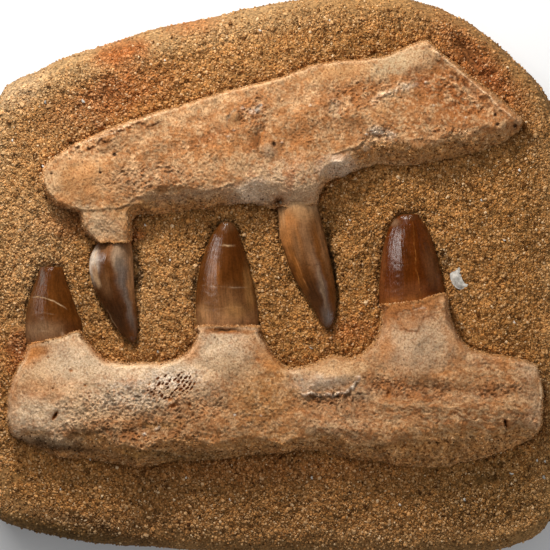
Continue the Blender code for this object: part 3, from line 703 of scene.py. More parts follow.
# %% A jaw bone as a closed relief
def make_bone(name, loop, ground, look):
    """A jaw bone with its root pedestals."""
    plan, faces, edge = fill_plan(loop, BONE_TRIANGLES, look["spongy"])
    x, y = plan[:, 0], plan[:, 1]
    depth, wall, open_side = read_edge(loop, x, y)
    depth[edge], wall[edge] = 0.0, 0.0
    top = USUAL_HEIGHT[name] * np.interp(x, *zip(*look["crest"]))
    top += BONE_CAMBER * (1.0 - np.exp(-open_side / CAMBER_REACH))
    top += forms_at(look["forms"], x, y) + unevenness(x, y, BONE_WAVE_SIZE, BONE_WAVE)

    # what kind of surface each place has, and the small relief that goes with it
    seed = look["seed"]
    flat = np.column_stack([x, y, wall * (top + FOOT_SINK)])  # so that sides aren't streaked
    moved_x, moved_y = wander(x, y, seed)
    near_x, near_y = x + SEAM_SWAY * (moved_x - x), y + SEAM_SWAY * (moved_y - y)
    flank = np.clip((1.0 - wall) * FLANK_GAIN, 0.0, 1.0)
    flank = flank * ease((look["flank_below"] - y) / FLANK_FADE)
    crumbly, fibrous, smooth, sandy = (zone(look[kind], moved_x, moved_y)
                                       for kind in KINDS)
    crumbly = np.maximum(crumbly, FLANK_ROUGH * flank)
    calm = 1.0 - CALM * smooth
    fine = layers(flat, GRIT, seed) * calm
    crumbs = sum(height * (CRUMB_TOP - CRUMB_CLEFT * np.abs(rumple(flat, size, seed + size)))
                 for size, height in CRUMB)
    along, across = turned(moved_x, moved_y, look["grain"])
    drawn = np.column_stack([along, across, flat[:, 2]])
    fibres = sum(rumple(drawn, size, seed + FIBRE_SEED) / (n + 1) for n, size in enumerate(FIBRE))
    fine += crumbly * crumbs + fibrous * FIBRE_HEIGHT * fibres
    pits = forms_at(look["pits"], x, y)
    if look["spongy"]:
        pits -= HOLE_DEPTH * slanting_holes(near_x, near_y, look["spongy"])

    # stains of the whole bone, then its edge, its seams and its spots
    colours = coat(ground, len(x))
    lay(colours, moved_x, moved_y, look["marks"])
    # broken sides are laid lighter: partly their fresh colour, partly painted light against their
    # shade
    stain(colours, "flank", look["flank_light_share"] * flank)
    streak = np.column_stack([along / STREAK[0], across / STREAK[1], flat[:, 2]])
    streak = rumple(streak, 1.0, STREAK_SEED)
    two_tones(colours, streak, look["streaks"] * fibrous, "cream", "rust", *STREAK_STEP)
    rim = look["rim"](x, y)
    stain(colours, "rim_ivory", rim * np.exp(-((depth - RIM_PLACE) / RIM_WIDTH) ** 2))
    stain(colours, "flame", RIM_GLOW * rim * np.exp(-(depth / RIM_GLOW_WIDTH) ** 2))
    fine += seam_relief(look["seams"], near_x, near_y, colours)
    lay(colours, x, y, look["spots"])

    # mottle, painted shade in what is low and painted light on what is high, and specks
    two_tones(colours, layers(flat, SPOTTY), look["mottle"] * calm, "orange", "cream", *SPOTTY_STEP)
    colours *= (1.0 + flank * layers(flat, FLANK_TONE))[:, None]
    colours *= (1.0 + layers(flat, BROAD_TONE) + layers(flat, FINE_TONE) * calm)[:, None]
    # painted shade where the detail is low, painted light where it is high
    low, high = ease(-fine / TONE_REACH), ease(fine / TONE_REACH)
    colours *= (1.0 - LOW_PAINTED_SHADE * low + HIGH_PAINTED_LIGHT * high)[:, None]
    speck = rumple(flat, *SPECK)
    for colour, swell, (share, start, run) in (("rust", speck, RUST_SPECK),
                                               ("umber", -speck, DARK_SPECK)):
        stain(colours, colour, share * look["speckle"] * ease((swell - start) / run))
    stain(colours, look["pit_colour"], PIT_STAIN * ease((-pits - PIT_STEP[0]) / PIT_STEP[1]))
    fine += pits

    # loose sand in the corners, and bare bone over it
    share, start, run = FOOT_SAND
    sand = np.maximum(sandy, share * ease((start - depth) / run))
    sand = np.maximum(sand, FLANK_ROUGH * flank)
    cover = np.array(PALETTE["sand"]) * (SAND_USUAL + layers(flat, SAND_TONE))[:, None]
    colours += (SAND_COVER * sand * (1.0 - FLANK_ROUGH * flank))[:, None] * (cover - colours)
    size, sand_seed, height = SAND_LUMPS
    fine += sand * height * rumple(flat, size, sand_seed)
    lay(colours, moved_x, moved_y, look["bare"])

    z = face_height(x, y) - FOOT_SINK + wall * (top + FOOT_SINK) + fine * ease(depth / DETAIL_RUN)
    places, faces = close_relief(np.column_stack([x, y, z]), faces, edge, BONE_FLOOR)
    colours = np.vstack([colours, colours[edge]])
    piece = make_piece(name + "_surface", places, faces, bone_finish, colours)
    store(piece, "sand", np.clip(np.r_[sand, np.zeros(len(edge))], 0.0, 1.0))
    return piece

# %% [markdown]
# ## The upper jaw
# It lies tooth side down, in the upper part of the slab. Its outer layer is whole and orange
# cream at the front end, flaked along the upper edge, and crumbled behind the worn boss in the
# middle. At the back a smooth cream plate stands at the high corner, and below it the bone is
# stained orange and red. Two roots run down to the crowns.

# %% Upper jaw: broad forms
UPPER_LOOK = {
    "seed": 11.0,
    "spongy": None,
    "grain": -24.0,  # run of the grain in degrees
    "flank_below": 60.0,  # broken sides below this height of the plan
    "flank_light_share": 0.8,
    "speckle": 0.8,
    "mottle": 0.55,
    "streaks": 0.8,
    "pit_colour": "umber",
    "crest": ((-93, 0.78), (-60, 0.95), (-10, 1.05), (20, 1.05), (60, 1), (100, 0.72)),
    "rim": lambda x, y: 0.35 * ease((y - 30.0) / 20.0) * ease((70.0 - x) / 20.0),
}
UPPER_LOOK["forms"] = (
    (-14, 61, 7, 6, 2),  # worn boss
    (-14, 61, 3.6, 3, -2.6),  # the dish in its top
    (-4, 60, 3, 8, -20, -1),  # slot beside the boss
    (56, 85, 13, 5, 18, 1.6),  # smooth plate at the high corner
    (44, 73, 13, 3.4, 30, 0.8),  # pale ridge under the plate
    (72, 68, 18, 7, -8, -1.6),  # stained hollow behind the ridge
    (84, 60, 9, 3, -12, 1.2),  # flake standing in the hollow
    (43, 55, 6, 3.5, -2.4),  # crumbled bite in the lower edge
    (7, 40, 9, 8, 2),  # swelling of the rear root
    (9.5, 28, 12, 4.5, -4.2),  # it runs down to the crown
    (-63, 13, 10, 4, -1.6),  # and so does the front root
    (28, 45, 7, 4, 20, 1.6),  # knob beside it
    (-66, 20, 7, 6, -1),  # front root, lower than the bone
    (-60, 51, 18, 2.4, 24, -0.7),  # flaked seam along the upper edge
    (-34, 50, 20, 4, 12, -0.6),  # worn trough along the middle
    (-44, 37, 16, 3.5, 4, 1.1),  # swell above the lower edge
    (-78, 40, 8, 7, 1),  # rounded front end
    (20, 64, 24, 4.5, 8, 0.9),  # low ridge between boss and plate
    (26, 74, 16, 3, 6, -1),  # flat trough above that ridge
)
print(len(UPPER_LOOK["forms"]), "broad forms")

# %% Upper jaw: kinds of surface
UPPER_LOOK["smooth"] = (
    (-77.4, 38.4, 13, 8, 1), (-43.4, 28, 24, 3, 3, 1), (26.6, 81.6, 13, 3, 8, 0.9),
    (53.4, 86.4, 12, 5, 10, 1), (-2.2, 50.4, 3, 3, 1), (41.4, 66.4, 4, 2.6, -20, 1),
    (-15.4, 62.4, 2.4, 3.4, 1),
)
UPPER_LOOK["crumbly"] = (
    (-49.4, 39.2, 24, 7, 4, 0.75), (-7.4, 64.8, 7, 8, 0.9), (34.6, 72, 17, 6.5, 10, 0.8),
    (75.4, 71.2, 15, 6, -34, 0.6), (41.8, 55.2, 8, 5, 1), (-67.8, 55.6, 24, 3.2, 27, 0.8),
    (6.6, 38.4, 12, 7, 0.4), (72.6, 56.4, 16, 4, -5, 0.7), (-29.4, 50.4, 18, 8, 15, 0.25),
    (14.6, 60.4, 12, 8, 10, 0.25), (-67.4, 20.4, 9, 5, 0.2),
)
UPPER_LOOK["fibrous"] = (
    (-29.4, 36.4, 24, 6, 6, 0.3), (-37.4, 54.4, 18, 5, 15, 0.25), (74.6, 72.4, 22, 9, -36, 0.6),
    (62.6, 58.4, 24, 5, -4, 0.7), (30.6, 67.2, 14, 6, 20, 0.5),
)
UPPER_LOOK["sandy"] = (
    (60.6, 46.8, 20, 3.2, -4, 0.85), (82.6, 50.4, 12, 2.6, -10, 0.7), (30.6, 39.2, 6, 2, 40, 0.6),
    (-85.4, 25.6, 8, 2, 0.5),
)
print(sum(len(UPPER_LOOK[kind]) for kind in KINDS), "places with their own kind of surface")

# %% Upper jaw: pits and seams
WHITE_LUMPS = (  # small white lumps on the bone: x, y, turn
    (-15.8, 58, 0), (-18.2, 55.6, 0), (3.4, 53.2, 0), (14.6, 68, 30), (63.8, 68, 0),
    (60.6, 77.2, 20), (70.6, 79.6, 0), (76.6, 63.2, 0), (81.4, 68, 0), (40.6, 57.2, 20),
    (37, 56.4, 0), (46.6, 56.4, -20), (36.6, 50, 0),
)
UPPER_LOOK["pits"] = (
    (-63.4, 48.4, 0.9, 0.7, -1), (-69, 41.2, 0.6, 0.6, -0.8), (-88.6, 40.8, 0.6, 0.5, -0.7),
    (0.2, 52.4, 0.8, 1.2, 20, -1.2), (2.2, 29.6, 1.9, 1.7, -1.9), (96.6, 60, 0.8, 0.8, -1),
    (88.6, 64.4, 0.7, 0.7, -0.9), (89.4, 60.4, 0.7, 0.6, -0.9), (24.6, 65.6, 1.4, 2.4, -15, -0.2),
    (52.2, 70.4, 4, 2.4, 25, -0.15), (-7.4, 53.2, 1.8, 4.6, -20, -0.3),
    (-15, 62.8, 1.8, 2.6, 10, 1.1),
    *((x, y, 0.7, 0.5, turn, 0.45) for x, y, turn in WHITE_LUMPS), (-79.4, 45.6, 2.6, 1.2, 10, 0.7),
    (27, 42.4, 5, 2.8, 10, 1.1), (-2.2, 50.4, 2.8, 2.6, 0.8), (44.2, 52, 3, 2, 0.7),
)
UPPER_LOOK["seams"] = (
    ("rust", 0.8, 0.42, 0.42, 0.45, (-84.2, 51.2, -77.4, 51.6, -73.4, 50.8, -70.6, 51.6, -69.4,
      54.4, -66.6, 53.2, -64.2, 54.8)),
    ("rust", 0.8, 0.42, 0.42, 0.45, (-64.2, 55.6, -62.2, 57.6, -59.4, 58, -57.4, 59.6, -53, 61.2,
      -51, 59.2, -48.2, 60, -46.2, 61.2, -41.4, 62)),
    ("ivory", 0.6, 0.35, -0.15, 0, (-84.2, 52, -77.4, 52.8, -70.2, 54.8, -64.6, 56.8, -57.4, 60.8,
      -49.4, 63.2, -41.4, 65.6)),
    ("umber", 0.7, 0.40, 0.40, 0.10, (-64.6, 48.8, -61.4, 50, -58.6, 51.6, -56.2, 52.8)),
    ("cream", 0.5, 0.7, -0.25, 0.5, (-86.2, 27.6, -75.4, 26.8, -62.2, 27.2, -57.4, 29.2, -56.2,
      31.6, -49.4, 32, -41.4, 32.4, -33.4, 33.6, -25.4, 34.4, -19.4, 36, -13.4, 38)),
    ("grey", 0.7, 0.5, 0.45, 0.1, (-18.2, 58.4, -18.2, 62.4, -16.2, 65.6, -12.6, 67.6)),
    ("iron", 0.6, 0.4, 0.3, 0.1, (-21.4, 55.6, -17.4, 57.2, -12.6, 58.4)),
    ("cream", 0.7, 0.35, -0.25, 0.7, (-1.4, 60.8, -2.6, 58.4, -5, 51.6, -5.8, 47.6)),
    ("iron", 0.5, 0.35, 0.25, 0.2, (54.2, 89.2, 57.8, 90.4, 63.4, 92.4)),
    ("ivory", 0.7, 1.1, -0.35, 0.2, (37.8, 68, 42.6, 71.6, 48.6, 74.4, 53.4, 76.8, 56.2, 76.8)),
    ("brown", 0.5, 0.4, 0.3, 0, (37.8, 66.4, 41.4, 64.8, 45, 63.6)),
    ("bark", 0.5, 0.35, 0.35, 0, (30.2, 62.8, 32.6, 63.6, 35.4, 64.4)),
    ("cream", 0.6, 0.5, -0.25, 0.6, (22.6, 47.6, 27, 50, 33.8, 52, 37.8, 55.6)),
    ("rim_ivory", 0.8, 0.5, -0.8, 0.3, (61.4, 91.6, 69.8, 85.2, 77.8, 78.4, 85.8, 71.6, 93.4, 64.8,
      98.2, 60.8)),
    ("rust", 0.7, 0.5, 0.5, 0, (60.2, 89.2, 68.2, 83.6, 76.2, 76.8, 84.2, 70, 91.4, 63.2)),
    ("cream", 0.6, 0.5, -0.5, 0.2, (65, 80.4, 71.4, 76.8, 78.6, 72, 85, 68.8, 89.8, 63.2)),
    ("cream", 0.5, 0.8, -0.25, 0.4, (49, 54.4, 58.6, 54.8, 68.6, 54, 78.6, 54.4, 86.6, 56)),
    ("cream", 0.5, 0.6, -0.4, 0.2, (78.6, 71.6, 82.6, 72.4, 88.2, 71.2)),
    ("brown", 0.4, 0.5, 0.3, 0.2, (10.6, 63.2, 16.6, 65.6, 22.6, 68.8, 30.6, 69.2)),
)
print(len(UPPER_LOOK["pits"]), "pits and", len(UPPER_LOOK["seams"]), "seams")

# %% Upper jaw: stains
UPPER_LOOK["marks"] = (
    ("peach", -77.4, 39.2, 17, 9, 0.85), ("cream", -49.4, 58.4, 40, 4, 21, 0.6),
    ("cream", -17.4, 44.4, 16, 6, 0.35), ("cream", 14.6, 74.4, 20, 6, 12, 0.4),
    ("cream", -89.4, 37.6, 4.5, 8, 0.9), ("cream", -77.4, 48.4, 9, 2.2, 0.8),
    ("flame", -75.8, 37.6, 7, 5, 0.35), ("orange", -65.4, 55.2, 22, 3.4, 28, 0.45),
    ("clay", -49.4, 39.2, 20, 6, 3, 0.6), ("ochre", -43.4, 28.4, 24, 2.6, 3, 0.6),
    ("grey_beige", -7, 32.4, 8, 5, 0.9), ("plate", -69.4, 20.8, 9, 6, 0.7),
    ("ochre", -62.2, 20.8, 6, 6, 0.6), ("peach", -15, 62.4, 2, 3, 10, 0.9),
    ("rust", -7, 64.8, 6, 6, 0.4), ("chalk", -7.8, 66.4, 2.2, 1.6, 30, 0.8),
    ("rust", -7.8, 52.4, 2.2, 5, -20, 0.8), ("grey_beige", -2.2, 50.4, 3, 2.6, 0.85),
    ("orange", 10.6, 54.4, 12, 6, 5, 0.4), ("grey_beige", 2.6, 36.4, 16, 9, 0.8),
    ("buff", 6.6, 40.4, 16, 7, 0.45), ("iron", -9.4, 40.8, 1.5, 2, 0.7),
    ("iron", 6.6, 39.2, 2.4, 6.5, -15, 0.5), ("ivory", 27, 42.4, 6, 3.4, 8, 0.7),
    ("peach", 24.6, 81.2, 16, 3.6, 8, 0.85), ("plate", 53.4, 86.4, 12.5, 5.2, 10, 1),
    ("plate", 44.6, 82.4, 9, 3.6, 20, 0.8), ("rust", 28.6, 71.2, 15, 5, 8, 0.35),
    ("orange", 35.4, 74.4, 14, 4, 10, 0.5), ("peach", 41.4, 66.8, 4, 2.6, -20, 0.8),
    ("orange", 52.2, 70, 8, 4, 20, 0.6), ("clay", 41.8, 53.6, 7, 4, 0.8),
    ("cream", 45.8, 72, 9.5, 2.8, 26, 0.95), ("chalk", 54.6, 76, 3.6, 1.2, 10, 0.8),
    ("chalk", 41, 58, 3.6, 1.5, -15, 0.9), ("chalk", 46.6, 56, 2, 1.2, 0.7),
    ("cream", 76.6, 56.4, 5.5, 1.8, -6, 0.8), ("chalk", 38.2, 50.8, 2, 0.7, 5, 0.8),
    ("flame", 66.6, 75.2, 9, 5, -36, 0.7), ("flame", 73.8, 65.6, 13, 5, -10, 0.6),
    ("iron", 61.8, 76, 3.6, 2.6, -30, 0.6), ("flame", -25.4, 50.4, 12, 6, 10, 0.3),
    ("flame", -4.6, 54, 0.8, 4.4, -18, 0.8), ("orange", 73.8, 72.4, 19, 7.5, -36, 0.95),
    ("iron", 78.6, 75.2, 8, 2.5, -38, 0.35), ("rust", 68.6, 66.4, 9, 4, -20, 0.2),
    ("cream", 72.6, 56.8, 2.8, 1.8, 0.7), ("cream", 80.6, 58, 2.6, 1, 0.7),
    ("brown", 62.6, 60.4, 12, 5, 0.15), ("tan", 90.6, 59.2, 6, 4, -30, 0.6),
    ("grey", 24.6, 66.4, 2, 4, -10, 0.6), ("cream", -29.4, 44.4, 14, 4, 5, 0.25),
    ("grey", -75.4, 27.6, 3.4, 1, 0.6), ("grey", -45.4, 30.8, 6.5, 1.2, 0.5),
    ("rust", 65, 70.4, 20, 9, -34, 0.3), ("iron", -27.4, 54.4, 10, 2.4, 20, 0.3),
    ("iron", 57.8, 78.4, 5, 2.4, -30, 0.35), ("iron", 72.6, 72, 18, 8, -34, 0.15),
)

# %% Upper jaw: spots and bare bone
UPPER_LOOK["spots"] = (
    ("umber", -63.4, 48.4, 0.8, 0.6, 0.8), ("umber", -69, 41.2, 0.5, 0.5, 0.8),
    ("umber", -88.6, 40.8, 0.5, 0.4, 0.8), ("umber", 0.2, 52.4, 0.7, 1.1, 20, 0.9),
    ("iron", 2.2, 29.6, 2.6, 2.4, 0.8), ("pitch", 2.2, 29.6, 1.5, 1.4, 0.9),
    ("slate", 3, 29.2, 0.6, 0.5, 0.9), ("umber", 96.6, 60, 0.7, 0.7, 0.9),
    ("umber", 88.6, 64.4, 0.6, 0.6, 0.8), ("umber", 89.4, 60.4, 0.6, 0.5, 0.8),
    *(("chalk", x, y, 0.6, 0.45, turn, 0.75) for x, y, turn in WHITE_LUMPS),
    ("slate", -7, 66, 1.4, 0.8, 0.6), ("shell", -12.2, 66.8, 0.7, 0.6, 0.8),
    ("shell", -5, 68, 0.7, 0.6, 0.8),
)
# laid last, over the sand that lies on the bone
UPPER_LOOK["bare"] = (
    # the two chalk marks on this line are the pale walls by the rear root, laid much lighter than
    # they are as painted light against their shade
    ("chalk", -7.8, 32.8, 9, 4.6, 8, 0.8), ("chalk", 25.8, 43.6, 7, 3.8, 12, 0.65),
    # the buff mark at the start of this line is the rear root's pale colour, lightened further as
    # painted light against the shade of its slope
    ("buff", 9.8, 32.8, 10, 5, 0.55), ("rust", 6.6, 38.4, 2.2, 5, -15, 0.45),
    ("orange", 2.2, 30, 2.3, 2.1, 0.95), ("pitch", 2.2, 30, 1.5, 1.3, 0.95),
    ("grey", 2.6, 29.6, 0.7, 0.6, 0.9), ("cream", -2.2, 34.4, 8, 3, 10, 0.3),
    # the buff mark at the start of this line is painted light on the shaded lower wall
    ("buff", -30.2, 32.4, 22, 2.6, 4, 0.5), ("ochre", 66.6, 48, 30, 3, 2, 0.45),
    ("buff", -67.8, 20, 8, 5, 0.4),
)
print(len(UPPER_LOOK["marks"]), "stains and", len(UPPER_LOOK["spots"]), "spots")

# %% Make the upper jaw
upper_jaw = make_bone("upper_jaw_bone", upper_loop, "tan", UPPER_LOOK)

# %% [markdown]
# ## The lower jaw
# It lies tooth side up along the lower part of the slab. The front end and the scalloped edge
# between the teeth are smooth and ivory. Below the scallop a patch of spongy bone is laid
# open, with slanting holes, and under it the bone is crumbly and brown. Behind the middle
# tooth a lip overhangs a dark recess, and the rear third is fibrous, with its grain along the
# bone.

# %% Lower jaw: broad forms
LOWER_LOOK = {
    "seed": 29.0,
    "spongy": (-40.6, -43.6, 10.5, 5.2, 12),
    "grain": -12.0,
    "flank_below": -58.0,
    "flank_light_share": 0.75,
    "speckle": 0.7,
    "mottle": 0.42,
    "streaks": 0.55,
    "pit_colour": "orange",
    "crest": ((-107, 0.85), (-60, 1), (-20, 1.05), (15, 0.92), (55, 1.08), (108, 0.9)),
    "rim": lambda x, y: 0.85 * ease((y + 50.0) / 10.0) * ease((-2.0 - x) / 6.0),
}
LOWER_LOOK["forms"] = (
    (-41, -43, 9, 4.5, 8, -0.8),  # spongy patch
    (-50, -57, 22, 5, -1),  # rough hollow under it
    (-24, -58, 9, 5, 1),  # swell that ends the hollow
    (-46, -67, 22, 3, -3, 1.8),  # fibrous ledge at the foot
    (-86, -48, 12, 9, 1.4),  # smooth front swelling
    (-18, -32, 9, 8, 1.5),  # middle root
    (22, -40.5, 14, 3.4, 8, 2.2),  # lip
    (24, -51, 15, 3.4, 3, -2),  # recess under the lip
    (61, -27, 11, 10, 1.9),  # rear root
    (64, -45.5, 30, 2.8, -3, -1.2),  # groove along the bone
    (66, -52, 32, 2.8, -2, 0.9),  # ridge beside the groove
    (30, -61, 18, 3, -4, 1.4),  # long swell below the recess
    (76, -62, 22, 3, 3, -0.5),  # worn trough near the lower edge
    (96, -50, 10, 10, 0.8),  # squared rear end
    (51, -67, 4, 3.5, -2.8),  # notch in the lower edge
)
print(len(LOWER_LOOK["forms"]), "broad forms")

# %% Lower jaw: kinds of surface
LOWER_LOOK["smooth"] = (
    (-83.4, -35.6, 20, 11, 1), (-61.4, -36.8, 14, 3.4, 1), (-37.4, -34.4, 12, 3.4, 10, 1),
    (-18.2, -29.6, 12, 11, 0.9), (22.6, -39.6, 14, 5.5, 3, 0.7), (56.6, -27.6, 14, 12, 0.9),
    (103.4, -41.6, 4, 8, 0.6), (-89.4, -49.6, 14, 10, 0.6),
)
LOWER_LOOK["crumbly"] = (
    (-49.4, -51.6, 38, 8.5, 1), (-91.4, -65.6, 16, 4, 0.9), (-69.4, -59.6, 20, 7, 0.9),
    (22.6, -48.8, 15, 4.5, 1), (46.6, -44, 14, 5, -6, 0.9), (62.6, -46.4, 12, 4.5, 0.8),
    (90.6, -45.6, 14, 4, 0.8), (-11.4, -54.4, 22, 8, 0.45), (-49.4, -64.4, 28, 5, 1),
    (26.6, -57.6, 16, 7, 0.55), (98.6, -59.6, 8, 6, 0.6),
)
LOWER_LOOK["fibrous"] = (
    (74.6, -56.8, 36, 12, -2, 1), (2.6, -59.6, 40, 9, 0.6), (-49.4, -65.6, 28, 7, -2, 0.3),
    (90.6, -37.6, 14, 6, -15, 0.8), (38.6, -59.6, 20, 8, 0.8),
)
LOWER_LOOK["sandy"] = (
    (-91.4, -70, 20, 3.6, -5, 1), (-57.4, -72.8, 30, 4.6, 1), (-13.4, -72.8, 26, 5, 3, 0.9),
    (22.6, -72, 36, 6, 1), (62.6, -72.8, 26, 5.4, 1), (92.6, -68.8, 12, 4, 18, 0.8),
    (-43.4, -59.2, 8, 1.6, 0.5),
)
print(sum(len(LOWER_LOOK[kind]) for kind in KINDS), "places with their own kind of surface")

# %% Lower jaw: pits and seams
LOWER_LOOK["pits"] = (
    (-87, -55.6, 0.55, 1.5, -30, -3), (92.2, -58, 0.6, 0.7, -3), (92.6, -59.6, 0.55, 0.8, 20, -2.6),
    (-89.8, -32.4, 0.5, 0.5, -0.6), (-95.4, -34.8, 0.4, 0.4, -0.4), (-75, -43.6, 0.6, 0.6, -0.7),
    (-87.8, -44.8, 0.6, 0.5, -0.6), (-80.6, -37.6, 0.6, 0.6, -0.4),
    (-6.2, -33.2, 1.3, 0.9, -20, -0.8), (45.8, -46.8, 0.8, 1.6, -1.6),
    (-41, -49.2, 1, 0.6, 30, -1.2), (-40.2, -51.6, 1.5, 0.8, 10, -1.4),
    (-33.4, -51.2, 0.7, 0.7, -1.1), (9.8, -38.8, 3.6, 2, 0.9), (101, -35.2, 2.4, 1.4, 0.6),
    (-19.8, -21.6, 5.6, 0.7, -4, -1), (-51.4, -62.8, 0.8, 0.7, 0.8),
    (-46.2, -60.4, 1.4, 0.7, 30, 1),
)
LOWER_LOOK["seams"] = (
    ("bark", 0.6, 0.8, 0.5, 0.3, (-84.6, -65.6, -79.4, -63.2, -71.4, -62.4, -65.4, -61.2, -57.4,
      -61.6, -49.4, -59.2, -42.2, -58.8, -36.6, -60.8)),
    ("cream", 0.6, 0.6, -0.35, 0.6, (-60.6, -66.8, -55.4, -67.6, -49.4, -69.2, -43.4, -69.6, -37.4,
      -72, -32.6, -72.8)),
    ("ivory", 0.5, 0.9, -0.3, 0.6, (-106.2, -63.2, -99.4, -64.4, -92.6, -64, -85.4, -65.6, -82.2,
      -63.2)),
    ("peach", 0.5, 0.6, -0.3, 0.5, (-42.2, -65.2, -35.4, -65.6, -29.4, -69.2, -20.6, -69.2, -15,
      -68)),
    ("chalk", 1, 0.6, -0.3, 0.7, (9.8, -46, 12.2, -47.2, 15, -46.4, 18.2, -47.6, 21.4, -46.8, 23.8,
      -47.6, 26.6, -46, 28.6, -46.4, 30.6, -44.4, 32.2, -44.8, 33, -42.4, 34.6, -42, 33.8, -40,
      31.4, -39.6)),
    ("umber", 0.5, 0.6, 0.5, 0, (9.8, -48.4, 15.4, -48.4, 22.6, -48, 28.6, -47.6, 34.6, -47.2, 39.4,
      -46.8)),
    ("rust", 0.35, 0.8, 0.25, 0.1, (39.4, -44.8, 44.6, -47.2, 49.8, -48, 56.6, -47.2, 63.4, -48)),
    ("cream", 0.4, 0.8, -0.2, 0.2, (66.6, -48.8, 72.6, -47.6, 82.6, -49.2, 90.6, -49.6, 98.6, -49.6,
      105.4, -50)),
    ("rim_ivory", 0.9, 0.55, -0.3, 0, (104.2, -34.8, 106.6, -38.8, 107, -45.6, 106.6, -51.2, 104.6,
      -55.2)),
    ("bark", 0.5, 0.4, 0.4, 0.1, (93.8, -39.6, 96.2, -40.4, 99.4, -41.6)),
    ("cream", 0.5, 0.7, -0.3, 0.4, (9, -65.2, 16.2, -65.6)),
    ("cream", 0.4, 0.7, -0.3, 0.4, (27.8, -66.4, 33.8, -67.2, 39.4, -67.2, 46.6, -66, 50.2, -65.2)),
    ("peach", 0.4, 0.7, -0.3, 0.4, (51.4, -64.4, 58.6, -64.8, 66.6, -64.8, 72.6, -64.4)),
    ("bark", 0.5, 0.5, 0.4, 0.1, (-27.8, -52.4, -22.2, -52, -16.6, -52.8, -15, -54.4)),
    ("orange", 0.4, 0.4, 0.2, 0.1, (-11, -25.6, -8.6, -29.6, -7, -34)),
    ("rust", 0.7, 0.35, 0.25, 0.2, (46.2, -20, 49, -21.2, 51.8, -20.4, 54.6, -21.6, 57, -22, 58.2,
      -19.6, 59.8, -16.8, 62.6, -15.6, 65.4, -19.2)),
    ("rust", 0.7, 0.30, 0.25, 0.1, (46.6, -14.8, 50.6, -14, 55.4, -13.2, 59.4, -12.4)),
    ("chalk", 0.9, 0.35, -0.2, 0, (55.8, -13.6, 58.6, -12.8, 61.4, -12.4)),
    ("rust", 0.5, 0.25, 0.15, 0, (-19, -22.4, -17, -25.2, -17.8, -28, -15, -30.4)),
    ("orange", 0.4, 0.30, 0.15, 0, (-69.4, -38.4, -67, -40.8, -61.4, -41.6, -53.4, -40.8)),
    ("brown", 0.4, 0.4, 0.3, 0.1, (10.6, -54.4, 16.6, -54.8, 21, -55.2)),
    ("cream", 0.4, 0.6, -0.25, 0.2, (37, -50, 42.6, -50.4, 47.4, -51.6, 54.6, -51.2)),
)
print(len(LOWER_LOOK["pits"]), "pits and", len(LOWER_LOOK["seams"]), "seams")

